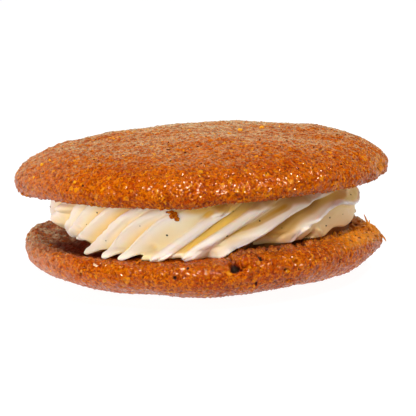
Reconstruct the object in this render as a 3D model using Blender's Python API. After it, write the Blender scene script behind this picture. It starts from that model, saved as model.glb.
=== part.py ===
"""A whoopie pie: two soft spiced cake rounds with a thick band of piped cream between them.

Three solids: cake_bottom (dome down, on a small flat foot), filling (piped, with slanting
folds all the way round) and cake_top (dome up, a little tilted). Sizes are in millimetres
here and become metres in mesh_object(). Azimuth 0 is the front (-Y) and grows towards +X.
"""

import math
import random

import bpy
import numpy as np

MM = 0.001
GAP = 0.3  # clearance between neighbouring solids

# Upper cake: flat underside, rounded lower corner, low dome.
TOP_RADIUS = 45.0
TOP_THICK = 11.8
TOP_WIDEST = 2.2  # height of the widest ring above the underside
TOP_CORNER = 1.6  # how far the lower corner is rounded inwards
TOP_DOME = (2.38, 2.2)  # exponents of the dome's profile
TOP_LIFT = 24.1  # height of the middle of the underside
TOP_TILT_X = -1.4  # degrees, front edge up
TOP_TILT_Y = -1.58  # degrees, right edge up

# Lower cake: the same shape upside down, a little smaller and rounder at its edge.
BASE_RADIUS = 43.3
BASE_THICK = 11.5
BASE_WIDEST = 2.7
BASE_CORNER = 3.2
BASE_DOME = (2.38, 2.06)
FOOT_CUT = 0.35  # what the weight presses flat under the dome

# Filling: a band between the two cakes, its middle a little to the right of theirs.
CREAM_OFFSET = 0.55
CREAM_BULGE = 37.5  # radius at half height
CREAM_FOOT = 35.2  # radius of its lower edge
CREAM_SPREAD = 3.9  # how much further it spreads at the front left
CREAM_SPREAD_AT = -31.0
CREAM_SPREAD_WIDTH = 25.0
CREAM_TOP_IN = 1.2  # how far it draws in under the upper cake
SWEEP = 27.0  # degrees that an ordinary fold travels from foot to top

# Each fold's crest: azimuth at the foot, degrees travelled to the top, exponent of that
# travel. Then the valley on its right: depth, shape of the slope down from the crest
# (0 sharp crest and round valley, 1 round shoulder), width of the rise to the next crest,
# and how far the toe of this crest runs out over the lower cake.
FOLDS = [
    (-74.0, 26.0, 1.00, 1.3, 0.60, 0.9, 0.3),
    (-66.0, 24.0, 1.00, 1.4, 0.50, 0.9, 0.4),
    (-60.0, 27.5, 1.00, 1.6, 0.20, 0.9, 0.6),
    (-47.0, 23.5, 1.00, 1.7, 0.30, 0.9, 1.2),
    (-38.5, 27.0, 1.60, 0.9, 0.50, 1.4, 1.4),
    (-31.6, 22.0, 1.00, 1.3, 0.85, 1.2, 0.8),
    (-18.6, 29.0, 0.90, 1.8, 0.10, 0.9, 1.4),
    (-9.5, 28.5, 0.95, 1.0, 0.15, 3.4, 1.0),
    (8.0, 40.0, 1.30, 2.0, 0.00, 3.0, 0.8),
]
# The last fold that shows on the right turns almost level half-way up.
LEVEL_FOLD = ((10.0, 33.0), (11.8, 34.0), (15.5, 35.5), (17.3, 37.5), (19.0, 45.0),
              (20.0, 53.0), (20.4, 64.0), (20.7, 80.0), (21.2, 92.0), (26.0, 108.0))
LEVEL_VALLEY = (0.8, 0.60, 1.0, 0.3)
CURL_VALLEY = (0.6, 0.90, 1.4, 0.5)
CREST_START = 11.8  # height where the crests start
CREST_RISE = 12.4
CREST_ROUND = 0.35  # how much a crest's edge is rounded
BACK_FOLDS = 17
BACK_SEED = 23
# Where the cream's lower edge stands clear of the cake: at the left over a dark hollow, and
# at the right over the cake's raised rim. Azimuths of each stretch's fade in and fade out.
HOLLOW = (-112.0, -98.0, -57.0, -52.0)
HOLLOW_HEIGHT = 2.2
HOLLOW_RADIUS = 32.3
RIM = (2.0, 16.0, 62.0, 84.0)
RIM_RAISE = 1.35  # how much higher the lower cake's rim stands there
RIM_CLEAR = 0.75
RIM_FAR = 98.0  # where the cream comes down to the cake again
RIM_DROOP = 0.65  # how much lower it is at the far right

# Dents: azimuth, height, half width, half height, depth (millimetres and degrees).
TOP_TEAR = (89.0, 4.6, 2.4, 2.2, 1.5)
BASE_PIT = (12.5, 10.3, 1.7, 1.1, 1.6)


def smooth(a, b, x):
    t = np.clip((x - a) / (b - a), 0.0, 1.0)
    return t * t * (3.0 - 2.0 * t)


def waves(seed, count, shortest, longest, strength):
    """Gentle unevenness: a seeded sum of sine waves in space."""
    rng = random.Random(seed)
    rows = []
    for _ in range(count):
        k = 2.0 * math.pi / rng.uniform(shortest, longest)
        around, up = rng.uniform(0, 2 * math.pi), rng.uniform(-0.5, 0.5)
        rows.append((k * math.cos(around) * math.cos(up), k * math.sin(around) * math.cos(up),
                     k * math.sin(up), rng.uniform(0, 2 * math.pi)))
    scale = strength / math.sqrt(count)

    def value(p):
        total = np.zeros(len(p))
        for kx, ky, kz, phase in rows:
            total += np.sin(p[:, 0] * kx + p[:, 1] * ky + p[:, 2] * kz + phase)
        return total * scale

    return value


def even_points(r, z, spacing):
    """Picks points along a profile, spacing(r) apart."""
    step = np.hypot(np.diff(r), np.diff(z))
    s = np.concatenate([[0], np.cumsum(step / spacing((r[1:] + r[:-1]) / 2))])
    n = max(2, int(round(s[-1])))
    at = np.linspace(0, s[-1], n + 1)
    return np.interp(at, s, r), np.interp(at, s, z)


def dome_profile(radius, widest, thick, exponents, spacing):
    """From the widest ring to just short of the middle of the dome."""
    x = np.sin(np.linspace(math.pi / 2, 0, 400))
    z = widest + (thick - widest) * (1 - x ** exponents[0]) ** (1 / exponents[1])
    return even_points(radius * x, z, spacing)


def corner_profile(radius, widest, corner, steps):
    t = np.linspace(0, math.pi / 2, steps + 1)
    return radius - corner + corner * np.sin(t), widest - widest * np.cos(t)


def ring_angles(radius, spacing, most, focus=None, extra=0):
    """Evenly spread azimuths in degrees, with a few more round one place."""
    n = int(min(most, max(10, round(2 * math.pi * radius / spacing))))
    angles = list(np.arange(n) * 360.0 / n - 180.0)
    if focus is not None and extra:
        wide = 4.5
        angles = [a for a in angles if abs(a - focus) > wide]
        angles += list(np.linspace(focus - wide, focus + wide, extra))
    return np.sort(np.array(angles))


def stitch(faces, first_a, angles_a, first_b, angles_b):
    """Triangles between two rings whose points are sorted by azimuth."""
    na, nb = len(angles_a), len(angles_b)
    i = j = 0
    start = int(np.argmin(np.abs(angles_b - angles_a[0])))
    turn = lambda k, ang, n: ang[k % n] + 360.0 * (k // n)
    while i < na or j < nb:
        next_a = turn(i + 1, angles_a, na)
        next_b = turn(start + j + 1, angles_b, nb)
        a = first_a + i % na
        b = first_b + (start + j) % nb
        if j >= nb or (i < na and next_a <= next_b):
            faces.append((a, b, first_a + (i + 1) % na))
            i += 1
        else:
            faces.append((a, b, first_b + (start + j + 1) % nb))
            j += 1


def cake_rings(rings, most, spacing, focus, extra):
    """Points and triangles of a round cake from its (radius, height) rings, middle to middle."""
    points, faces, previous = [], [], None
    for r, z in rings:
        if r < 1e-6:
            angles = np.array([0.0])
        else:
            near = r > 0.86 * max(q for q, _ in rings)
            angles = ring_angles(r, spacing(r), most, focus if near else None, extra)
        first = len(points)
        for a in angles:
            t = math.radians(a)
            points.append((r * math.sin(t), -r * math.cos(t), z))
        if previous is not None:
            pf, pa = previous
            if len(pa) == 1:
                for k in range(len(angles)):
                    faces.append((pf, first + k, first + (k + 1) % len(angles)))
            elif len(angles) == 1:
                for k in range(len(pa)):
                    faces.append((first, pf + (k + 1) % len(pa), pf + k))
            else:
                stitch(faces, pf, pa, first, angles)
        previous = (first, angles)
    return np.array(points), np.array(faces)


def vertex_normals(points, faces):
    a, b, c = (points[faces[:, k]] for k in range(3))
    n = np.cross(b - a, c - a)
    out = np.zeros_like(points)
    for k in range(3):
        np.add.at(out, faces[:, k], n)
    return out / np.linalg.norm(out, axis=1)[:, None]


def outward(points, faces):
    """Turns every triangle round if the solid is inside out."""
    a, b, c = (points[faces[:, k]] for k in range(3))
    return faces if np.einsum("ij,ij->i", a, np.cross(b, c)).sum() > 0 else faces[:, ::-1]


def azimuth_of(p):
    return np.degrees(np.arctan2(p[:, 0], -p[:, 1]))


def turned(a):
    """An angle difference brought into -180..180."""
    return (a + 180.0) % 360.0 - 180.0


def dent(p, spot):
    """Depth of a rounded dent at each point."""
    az, height, wide, high, depth = spot
    across = np.radians(turned(azimuth_of(p) - az)) * np.hypot(p[:, 0], p[:, 1])
    d2 = (across / wide) ** 2 + ((p[:, 2] - height) / high) ** 2
    return depth * np.exp(-d2 ** 1.5)


def stretch(az, ends):
    """1 along a stretch of azimuths, fading to 0 at both ends."""
    a = turned(az)
    return smooth(ends[0], ends[1], a) * (1 - smooth(ends[2], ends[3], a))


def rim_raise(az):
    return RIM_RAISE * stretch(az, RIM)


def edge_height(az):
    """How far the cream's lower edge stands above the lower cake's flat face."""
    left = HOLLOW_HEIGHT * stretch(az, HOLLOW)
    over_rim = RIM_CLEAR + RIM_RAISE * stretch(az, (RIM[0], RIM[1], RIM_FAR, RIM_FAR + 14.0))
    return left + over_rim * stretch(az, (RIM[0] - 7.0, RIM[0], RIM_FAR, RIM_FAR + 14.0))


def tilt_matrix():
    ax, ay = math.radians(TOP_TILT_X), math.radians(TOP_TILT_Y)
    rx = np.array([[1, 0, 0], [0, math.cos(ax), -math.sin(ax)], [0, math.sin(ax), math.cos(ax)]])
    ry = np.array([[math.cos(ay), 0, math.sin(ay)], [0, 1, 0], [-math.sin(ay), 0, math.cos(ay)]])
    return ry @ rx


def underside_height(x, y):
    """Height of the upper cake's tilted underside over a point."""
    n = tilt_matrix()[:, 2]
    return TOP_LIFT - (n[0] * x + n[1] * y) / n[2]


def cake_top():
    corner_r, corner_z = corner_profile(TOP_RADIUS, TOP_WIDEST, TOP_CORNER, 4)
    dome_r, dome_z = dome_profile(TOP_RADIUS, TOP_WIDEST, TOP_THICK, TOP_DOME,
                                  lambda r: np.interp(r, [0, 30, 40, 45], [5.0, 3.2, 1.9, 1.3]))
    rings = [(0.0, 0.0), (14.0, 0.0), (29.0, 0.0), (39.5, 0.0)]
    rings += list(zip(corner_r, corner_z)) + list(zip(dome_r[1:], dome_z[1:]))
    rings[-1] = (0.0, rings[-1][1])
    spacing = lambda r: np.interp(r, [0, 20, 40, 45], [5.0, 4.6, 3.2, 3.0])
    points, faces = cake_rings(rings, 92, spacing, TOP_TEAR[0], 9)
    faces = outward(points, faces)
    normals = vertex_normals(points, faces)
    free = smooth(39.0, 44.0, np.hypot(points[:, 0], points[:, 1])) + smooth(0.3, 3.0, points[:, 2])
    free = np.clip(free, 0, 1)
    uneven = waves(48003, 9, 14.0, 34.0, 0.30)(points) + waves(4, 8, 6.0, 10.0, 0.10)(points)
    points = points + normals * (uneven * free - dent(points, TOP_TEAR))[:, None]
    points = points @ tilt_matrix().T + np.array([0, 0, TOP_LIFT])
    return points, faces


def cake_bottom():
    corner_r, corner_z = corner_profile(BASE_RADIUS, BASE_WIDEST, BASE_CORNER, 5)
    dome_r, dome_z = dome_profile(BASE_RADIUS, BASE_WIDEST, BASE_THICK, BASE_DOME,
                                  lambda r: np.interp(r, [0, 30, 38, 43.3], [6.0, 3.6, 2.0, 1.3]))
    top = BASE_THICK
    rings = [(0.0, top), (15.0, top), (29.0, top), (33.3, top), (34.4, top), (35.5, top), (36.7, top), (38.4, top)]
    rings += [(r, top - z) for r, z in zip(corner_r, corner_z)]
    rings += [(r, top - z) for r, z in zip(dome_r[1:], dome_z[1:])]
    foot = max(r for r, z in rings if z < FOOT_CUT)
    rings = [(r, z) for r, z in rings if z >= FOOT_CUT or r > foot - 0.01]
    rings += [(0.55 * foot, FOOT_CUT), (0.0, FOOT_CUT)]
    spacing = lambda r: np.interp(r, [0, 20, 38, 43.3], [6.0, 5.2, 3.5, 3.2])
    points, faces = cake_rings(rings, 80, spacing, BASE_PIT[0], 9)
    faces = outward(points - [0, 0, top / 2], faces)
    normals = vertex_normals(points, faces)
    radius, az = np.hypot(points[:, 0], points[:, 1]), azimuth_of(points)
    on_face = points[:, 2] > top - 0.02
    free = np.where(on_face, smooth(40.5, 43.0, radius), smooth(FOOT_CUT, 3.0, points[:, 2]))
    uneven = waves(13, 9, 14.0, 34.0, 0.28)(points) + waves(14, 8, 6.0, 10.0, 0.10)(points)
    # The underside hangs a little lower at the front and curves up sooner at the right.
    low = (0.60 * np.exp(-(turned(az - 2.0) / 20.0) ** 2) + 0.35 * np.exp(-(turned(az + 48.0) / 26.0) ** 2)
           + 0.10 * np.exp(-(turned(az - 60.0) / 20.0) ** 2))
    low = low * smooth(20.0, 32.0, radius) * (1 - smooth(5.0, 9.5, points[:, 2]))
    uneven = uneven + low
    points = points + normals * (uneven * free - dent(points, BASE_PIT))[:, None]
    # At the front right the rim stands higher, with a shallow groove in the crumb behind its
    # lip; at the far right it droops.
    side = smooth(4.5, 10.5, points[:, 2])
    lift = rim_raise(az) * smooth(33.4, 35.4, radius) * side
    lift += np.where(on_face, stretch(az, RIM), 0.0) * (
        0.25 * np.exp(-((radius - 34.8) / 0.8) ** 2) - 0.35 * np.exp(-((radius - 36.7) / 0.8) ** 2)
        + 0.15 * np.exp(-((radius - 38.4) / 0.9) ** 2))
    lift -= RIM_DROOP * np.exp(-(turned(az - 97.0) / 15.0) ** 2) * smooth(37.5, 41.5, radius) * side
    lift += 0.35 * np.exp(-(turned(az + 100.0) / 16.0) ** 2) * smooth(38.5, 41.5, radius) * side
    points[:, 2] += lift
    points[:, 2] = np.maximum(points[:, 2] - FOOT_CUT, 0.0)
    return points, faces


def crest_table():
    """All folds in order: a function of height for each crest, and its valley."""
    names = ("depth", "shoulder", "rise", "toe")
    crests = []
    for foot, sweep, power, *valley in FOLDS:
        crests.append((lambda z, f=foot, s=sweep, p=power:
                       f + s * (np.clip(z - CREST_START, 0, None) / CREST_RISE) ** p,
                       dict(zip(names, valley))))
    heights = np.array([h for h, _ in LEVEL_FOLD])
    level = lambda z: np.interp(z, heights, [a for _, a in LEVEL_FOLD])
    crests.append((level, dict(zip(names, LEVEL_VALLEY))))
    crests.append((lambda z: level(z) + np.maximum(1.2, 15.5 - 1.85 * (z - CREST_START)),
                   dict(zip(names, CURL_VALLEY))))
    rng = random.Random(BACK_SEED)
    first, last = 71.0, FOLDS[0][0] + 360.0
    gap = (last - first) / BACK_FOLDS
    for k in range(BACK_FOLDS):
        foot = first + gap * k + (rng.uniform(-0.2, 0.2) * gap if k else 0.0)
        lean = SWEEP + rng.uniform(-2.0, 2.0) + 24.0 * math.exp(-k / 3.0)
        valley = (rng.uniform(1.1, 1.8), rng.uniform(0.0, 0.5), rng.uniform(0.8, 1.3),
                  rng.uniform(0.4, 1.2))
        crests.append((lambda z, f=foot, s=lean:
                       f + s * np.clip(z - CREST_START, 0, None) / CREST_RISE,
                       dict(zip(names, valley))))
    return crests


def crest_line(curve):
    """Points along a crest on the unrolled side of the filling, about 0.2 mm apart."""
    z = np.linspace(9.0, 27.0, 400)
    x = np.radians(curve(z)) * CREAM_BULGE
    s = np.concatenate([[0], np.cumsum(np.hypot(np.diff(x), np.diff(z)))])
    at = np.linspace(0, s[-1], int(s[-1] / 0.2))
    return np.interp(at, s, x), np.interp(at, s, z)


def distance_to(line, az, z):
    """Shortest distance on the unrolled side from points to a crest."""
    if not len(az):
        return np.zeros(0)
    turn = 2 * math.pi * CREAM_BULGE
    middle = np.interp(z, line[1], line[0])
    x = np.radians(az) * CREAM_BULGE
    x = middle + (x - middle + turn / 2) % turn - turn / 2
    out = np.empty(len(x))
    for k in range(0, len(x), 4000):
        q = slice(k, k + 4000)
        out[q] = np.sqrt(((x[q, None] - line[0]) ** 2 + (z[q, None] - line[1]) ** 2).min(1))
    return out


def cream_radius(az, z, top, crests, lines):
    """Radius of the filling at an azimuth and a height, where its top is at height top."""
    edge = BASE_THICK + edge_height(az)
    t = np.clip((z - edge) / (top - edge), 0.0, 1.0)
    foot = CREAM_FOOT + CREAM_SPREAD * np.exp(-(turned(az - CREAM_SPREAD_AT) / CREAM_SPREAD_WIDTH) ** 2)
    body = foot + (CREAM_BULGE - foot) * smooth(0.0, 0.30, t) - CREAM_TOP_IN * smooth(0.72, 1.0, t)
    low = 1 - smooth(0.0, 2.4, z - edge)
    angles = [c(z) for c, _ in crests]
    out = body.copy()
    for k, (_, v) in enumerate(crests):
        nxt = (k + 1) % len(crests)
        wide = (angles[nxt] - angles[k]) % 360.0
        here = ((az - angles[k]) % 360.0) < wide
        left = distance_to(lines[k], az[here], z[here])
        right = distance_to(lines[nxt], az[here], z[here])
        width = left + right + 1e-6
        rise = np.minimum(v["rise"], 0.45 * width)
        x = np.clip(left / (width - rise), 0.0, 1.0)
        down = (1 - v["shoulder"]) * (1 - (1 - x) ** 2.6) + v["shoulder"] * x * x
        up = smooth(0.0, 1.0, right / rise)
        depth = v["depth"] * np.clip(width / 4.0, 0.0, 1.0) * (1.0 + 0.5 * low[here])
        if k == len(FOLDS) - 1:
            depth = depth * (1 - 0.6 * smooth(44.0, 78.0, az[here]))
        recess = depth * down * up
        near = np.minimum(left, right)
        recess = recess + 0.25 * CREST_ROUND * np.exp(-(near / CREST_ROUND) ** 2)
        toe = low[here] * (v["toe"] * np.exp(-(left / 1.3) ** 2)
                           + crests[nxt][1]["toe"] * np.exp(-(right / 0.8) ** 2))
        out[here] = body[here] - recess + toe
    # Below its lower edge the cream is set back.
    back = np.where(edge > BASE_THICK + 0.05, 1 - smooth(-0.35, 0.0, z - edge), 0.0)
    return out + (np.minimum(HOLLOW_RADIUS, out) - out) * back


def filling():
    crests = crest_table()
    lines = [crest_line(c) for c, _ in crests]
    base = BASE_THICK - FOOT_CUT + GAP
    samples = (0.0, 0.12, 0.34, 0.60, 0.80, 0.93)
    # Rows of points: three below or at the lower edge, the rest evenly up to the top.
    rows = 13
    feet = [float(c(CREST_START)) for c, _ in crests]
    level_at = len(FOLDS)
    points, faces = [], []
    n = len(crests) * len(samples)
    every, fold = np.arange(n), np.repeat(np.arange(len(crests)), len(samples))
    part = np.tile(samples, len(crests))
    for row in range(rows):
        t = np.clip((row - 2) / (rows - 3), 0.0, 1.0)
        z = np.full(n, CREST_START + t * CREST_RISE)
        r = np.full(n, CREAM_BULGE)
        for _ in range(4):
            # The mesh follows the crests, except the level one, where it keeps an even slant.
            at = (z - CREST_START) / CREST_RISE
            crest = [c(z) for c, _ in crests]
            crest[level_at] = feet[level_at] + 40.0 * at
            crest[level_at + 1] = feet[level_at + 1] + 38.0 * at
            crest.append(crest[0] + 360.0)
            crest = np.array(crest)
            az = crest[fold, every] * (1 - part) + crest[fold + 1, every] * part
            x, y = CREAM_OFFSET + r * np.sin(np.radians(az)), -r * np.cos(np.radians(az))
            top = underside_height(x, y) - GAP * 1.05
            edge = BASE_THICK + GAP + np.maximum(edge_height(az) - GAP, 0.0)
            if row == 0:
                z = np.full(n, BASE_THICK + GAP)
            elif row == 1:
                z = BASE_THICK + GAP + 0.12 + np.maximum(edge - BASE_THICK - GAP - 0.47, 0.0)
            else:
                z = edge + 0.24 + t * (top - edge - 0.24)
            r = cream_radius(az, z, top, crests, lines)
        x, y = CREAM_OFFSET + r * np.sin(np.radians(az)), -r * np.cos(np.radians(az))
        if row == rows - 1:
            z = underside_height(x, y) - GAP * 1.05
        points += list(zip(x, y, z - FOOT_CUT))
    for i in range(rows - 1):
        for j in range(n):
            a, b = i * n + j, i * n + (j + 1) % n
            c, d = (i + 1) * n + j, (i + 1) * n + (j + 1) % n
            faces += [(a, b, d), (a, d, c)]
    for i in (0, rows - 1):
        ring, inner, count = i * n, len(points), n // len(samples)
        height = (lambda x, y: base) if i == 0 else (lambda x, y: float(underside_height(x, y)) - FOOT_CUT - GAP * 1.05)
        for k in range(count):
            px, py, _ = points[ring + len(samples) * k]
            az = math.atan2(px, -py)
            x, y = 22.0 * math.sin(az), -22.0 * math.cos(az)
            points.append((x, y, height(x, y)))
        points.append((0.0, 0.0, height(0.0, 0.0)))
        middle = len(points) - 1
        cap = []
        for k in range(count):
            p, q = inner + k, inner + (k + 1) % count
            for m in range(len(samples)):
                cap.append((ring + (len(samples) * k + m) % n, p, ring + (len(samples) * k + m + 1) % n))
            cap.append((p, q, ring + len(samples) * (k + 1) % n))
            cap.append((p, middle, q))
        faces += cap if i == 0 else [(a, c, b) for a, b, c in cap]
    points, faces = np.array(points), np.array(faces)
    return points, outward(points - [0, 0, base + 6], faces)


def material(name, colour, roughness, subsurface):
    m = bpy.data.materials.new(name)
    m.use_nodes = True
    shader = m.node_tree.nodes["Principled BSDF"]
    shader.inputs["Base Color"].default_value = (*colour, 1.0)
    shader.inputs["Roughness"].default_value = roughness
    shader.inputs["Subsurface Weight"].default_value = subsurface
    shader.inputs["Subsurface Scale"].default_value = 0.003
    return m


def mesh_object(name, points, faces, shade, shift):
    mesh = bpy.data.meshes.new(name)
    mesh.from_pydata([tuple((np.array(p) + shift) * MM) for p in points], [],
                     [tuple(int(i) for i in f) for f in faces])
    mesh.validate()
    mesh.shade_smooth()
    mesh.set_sharp_from_angle(angle=math.radians(38))
    mesh.materials.append(shade)
    obj = bpy.data.objects.new(name, mesh)
    bpy.context.scene.collection.objects.link(obj)
    return obj


def main():
    for obj in list(bpy.data.objects):
        bpy.data.objects.remove(obj, do_unlink=True)
    upper, lower, cream = cake_top(), cake_bottom(), filling()
    upper[0][:, 2] -= FOOT_CUT
    every = np.concatenate([upper[0], lower[0], cream[0]])
    middle = (every.max(0) + every.min(0)) / 2
    shift = np.array([-middle[0], -middle[1], 0.0])
    print("recentred by", np.round(shift, 4), "size", np.round(np.ptp(every, axis=0), 3))
    crust = material("spiced_cake", (0.42, 0.13, 0.022), 0.55, 0.1)
    cream_look = material("cream", (0.80, 0.66, 0.42), 0.45, 0.3)
    mesh_object("cake_bottom", *lower, crust, shift)
    mesh_object("filling", *cream, cream_look, shift)
    mesh_object("cake_top", *upper, crust, shift)


main()
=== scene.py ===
"""Looks of the whoopie pie: two soft spiced cake rounds with piped vanilla cream between them.

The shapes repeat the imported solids' own functions at a finer grain. Sizes are in millimetres
in the pie's frame (azimuth 0 is the front, -Y, and grows towards +X) and become metres in
build(), where SHIFT carries them to the frame of the solids.
"""

import math
import random

import bpy
import numpy as np
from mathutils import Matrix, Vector
from mathutils.bvhtree import BVHTree


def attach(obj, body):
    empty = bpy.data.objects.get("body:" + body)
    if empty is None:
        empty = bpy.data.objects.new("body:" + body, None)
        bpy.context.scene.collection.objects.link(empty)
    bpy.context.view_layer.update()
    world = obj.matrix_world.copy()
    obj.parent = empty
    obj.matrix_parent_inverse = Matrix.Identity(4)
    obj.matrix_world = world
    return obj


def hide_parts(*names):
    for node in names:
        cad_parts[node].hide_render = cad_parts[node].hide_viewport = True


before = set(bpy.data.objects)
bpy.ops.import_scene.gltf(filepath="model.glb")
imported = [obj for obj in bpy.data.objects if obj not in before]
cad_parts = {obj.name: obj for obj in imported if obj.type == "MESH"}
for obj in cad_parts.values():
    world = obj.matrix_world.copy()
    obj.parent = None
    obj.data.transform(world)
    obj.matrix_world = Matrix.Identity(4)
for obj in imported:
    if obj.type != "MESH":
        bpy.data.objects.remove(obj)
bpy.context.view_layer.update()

MM = 0.001
SHIFT = np.array([0.124, 0.2628, -0.35])  # pie frame to the solids' frame

# ---------------------------------------------------------------- the solids' own sizes
TOP_RADIUS, TOP_THICK, TOP_WIDEST, TOP_CORNER = 45.0, 11.8, 2.2, 1.6
TOP_DOME = (2.38, 2.2)
TOP_LIFT, TOP_TILT_X, TOP_TILT_Y = 24.1, -1.4, -1.58
BASE_RADIUS, BASE_THICK, BASE_WIDEST, BASE_CORNER = 43.3, 11.5, 2.7, 3.2
BASE_DOME = (2.38, 2.06)
FOOT_CUT = 0.35
CREAM_OFFSET, CREAM_BULGE, CREAM_FOOT = 0.55, 37.5, 35.2
CREAM_SPREAD, CREAM_SPREAD_AT, CREAM_SPREAD_WIDTH = 3.9, -31.0, 25.0
CREAM_TOP_IN = 1.2
SWEEP = 27.0
DEEPER = 1.35  # the folds' valleys are a little deeper here than in the coarse solid
# Folds over the front, left to right. Each crest climbs through (height, azimuth); its edge leans
# to the left (-) or right (+); the valley on its right has a depth, a fall from this crest (0 is
# gradual), a rise to the next crest; the toe stands out at the foot. The notch in the lower edge
# is its height, where it is reached, and where it drops again, in parts of the way to the next
# crest. The last pair is where the valley fades out, by height.
FOLDS = [
    (((11.8, -84.0), (15.4, -78.0), (18.2, -70.5), (19.5, -67.0), (23.0, -60.0)),
     -0.5, 1.1, 0.0, 0.9, 0.3, (0.2, 0.75, 0.86, 1.0), (30.0, 31.0)),
    (((11.8, -66.0), (15.5, -61.5), (17.8, -58.3), (19.9, -54.7), (22.2, -51.7), (24.0, -50.0)),
     -0.6, 0.8, 0.0, 0.7, 0.2, (0.2, 0.75, 0.86, 1.0), (30.0, 31.0)),
    (((11.8, -60.5), (15.0, -57.0), (17.9, -53.1), (19.6, -49.8), (21.5, -46.7), (24.0, -43.0)),
     -0.8, 1.3, 0.0, 0.8, 0.2, (0.3, 0.75, 0.86, 1.0), (30.0, 31.0)),
    (((11.8, -57.0), (14.2, -52.9), (15.6, -49.0), (17.7, -44.8), (19.9, -40.3), (21.8, -36.7), (24.0, -32.5)),
     -0.9, 1.8, 0.0, 0.8, 0.5, (0.3, 0.75, 0.86, 1.0), (30.0, 31.0)),
    (((11.6, -45.0), (13.0, -42.8), (15.05, -39.5), (17.3, -35.5), (19.8, -31.5), (21.3, -28.1), (22.3, -25.3), (24.0, -20.0)),
     -0.9, 1.4, 0.0, 0.8, 1.2, (1.5, 0.50, 0.64, 0.84), (30.0, 31.0)),
    (((11.6, -35.4), (12.6, -34.2), (14.5, -32.6), (16.35, -30.4), (18.7, -26.5), (20.4, -22.8), (21.6, -19.5), (22.5, -16.3), (24.0, -10.0)),
     -0.9, 1.4, 0.0, 0.8, 1.3, (1.2, 0.55, 0.68, 0.88), (30.0, 31.0)),
    (((11.7, -28.8), (13.1, -26.6), (14.4, -24.9), (15.7, -23.0), (17.1, -20.7), (18.8, -17.6), (20.45, -14.6), (22.5, -8.0), (24.0, -4.0)),
     -0.8, 0.6, 0.0, 0.6, 1.1, (1.3, 0.36, 0.44, 0.58), (30.0, 31.0)),
    (((11.6, -17.2), (12.6, -14.9), (14.4, -11.0), (16.5, -6.3), (18.4, -2.3), (20.2, 1.4), (21.5, 4.4), (22.7, 7.5), (24.5, 12.0)),
     -0.05, 0.9, 0.5, 0.5, 0.9, (0.3, 0.4, 0.8, 1.0), (30.0, 31.0)),
    (((11.8, -7.0), (12.7, -5.2), (14.4, -1.7), (16.4, 3.3), (18.4, 8.6), (20.4, 13.8), (22.25, 18.8), (23.3, 21.8), (25.0, 27.0)),
     -0.05, 1.0, 0.0, 3.0, 0.9, (0.0, 0.35, 0.9, 1.0), (30.0, 31.0)),
    (((11.8, 6.5), (13.3, 9.9), (14.2, 12.8), (15.9, 16.9), (17.5, 20.7), (19.0, 24.9), (20.4, 28.6), (21.5, 32.4), (22.3, 36.3), (23.0, 41.0), (23.6, 48.0), (24.2, 58.0)),
     0.5, 1.4, 0.7, 6.0, 0.4, (1.4, 0.16, 0.22, 0.38), (30.0, 31.0)),
    (((11.8, 33.0), (14.7, 35.5), (16.0, 36.3), (16.8, 37.3), (17.75, 39.9), (18.1, 42.5), (18.9, 45.9), (19.9, 49.6), (20.6, 56.0), (22.0, 72.0), (26.0, 104.0)),
     0.1, 0.3, 0.6, 6.0, 0.2, (0.0, 0.75, 0.86, 1.0), (17.6, 19.0)),
]
# The last crest runs on as a thin, nearly level edge round the right end: azimuth, height.
SHELF = ((37.0, 16.8), (39.9, 17.75), (42.5, 18.1), (45.9, 18.9), (49.6, 19.9), (53.4, 20.4), (58.4, 20.6),
         (64.8, 19.8), (70.7, 18.9), (79.0, 18.6), (88.0, 19.2), (98.0, 21.0))
CREST_START, CREST_RISE = 11.8, 12.4
# Half width of each crest's rounded back, mm; the others are sharper.
BACKS = {4: 0.45, 5: 0.45, 6: 0.45, 7: 0.85, 8: 0.75, 9: 0.6}
# How strongly each valley's painted shade is coloured; the others are 1.
VALLEY_SHADE = {7: 1.5, 8: 0.75, 9: 1.35}
BACK_FOLDS, BACK_SEED = 16, 23
CREAM_LIFTED = (-112.0, -98.0, -50.0, -45.5)
CREAM_LIFT, CREAM_BACK = 2.5, 30.8
RIM = (2.0, 16.0, 62.0, 84.0)
RIM_RAISE, RIM_CLEAR, RIM_FAR, RIM_DROOP = 1.35, 0.75, 98.0, 0.65
TOP_TEAR = (89.0, 4.6, 2.4, 2.2, 1.5)
TOP_NOTCH = (71.0, 2.9, 2.4, 1.0, 1.2)
BASE_PIT = (12.5, 10.3, 1.7, 1.1, 1.6)


# ---------------------------------------------------------------- small tools
def smooth(a, b, x):
    t = np.clip((x - a) / (b - a), 0.0, 1.0)
    return t * t * (3.0 - 2.0 * t)


def turned(a):
    return (a + 180.0) % 360.0 - 180.0


def stretch(az, ends):
    a = turned(az)
    return smooth(ends[0], ends[1], a) * (1 - smooth(ends[2], ends[3], a))


def azimuth_of(p):
    return np.degrees(np.arctan2(p[:, 0], -p[:, 1]))


def waves(seed, count, shortest, longest, strength):
    rng = random.Random(seed)
    rows = []
    for _ in range(count):
        k = 2.0 * math.pi / rng.uniform(shortest, longest)
        around, up = rng.uniform(0, 2 * math.pi), rng.uniform(-0.5, 0.5)
        rows.append((k * math.cos(around) * math.cos(up), k * math.sin(around) * math.cos(up),
                     k * math.sin(up), rng.uniform(0, 2 * math.pi)))
    scale = strength / math.sqrt(count)

    def value(p):
        total = np.zeros(len(p))
        for kx, ky, kz, phase in rows:
            total += np.sin(p[:, 0] * kx + p[:, 1] * ky + p[:, 2] * kz + phase)
        return total * scale

    return value


def lattice(ix, iy, iz, seed):
    """A repeatable random integer for each lattice point."""
    h = (ix * 374761393 + iy * 668265263 + iz * 1274126177 + seed * 1103515245) & 0xFFFFFFFF
    h = ((h ^ (h >> 15)) * 2246822519) & 0xFFFFFFFF
    h = ((h ^ (h >> 13)) * 3266489917) & 0xFFFFFFFF
    return (h ^ (h >> 16)) & 0xFFFFFFFF


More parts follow.
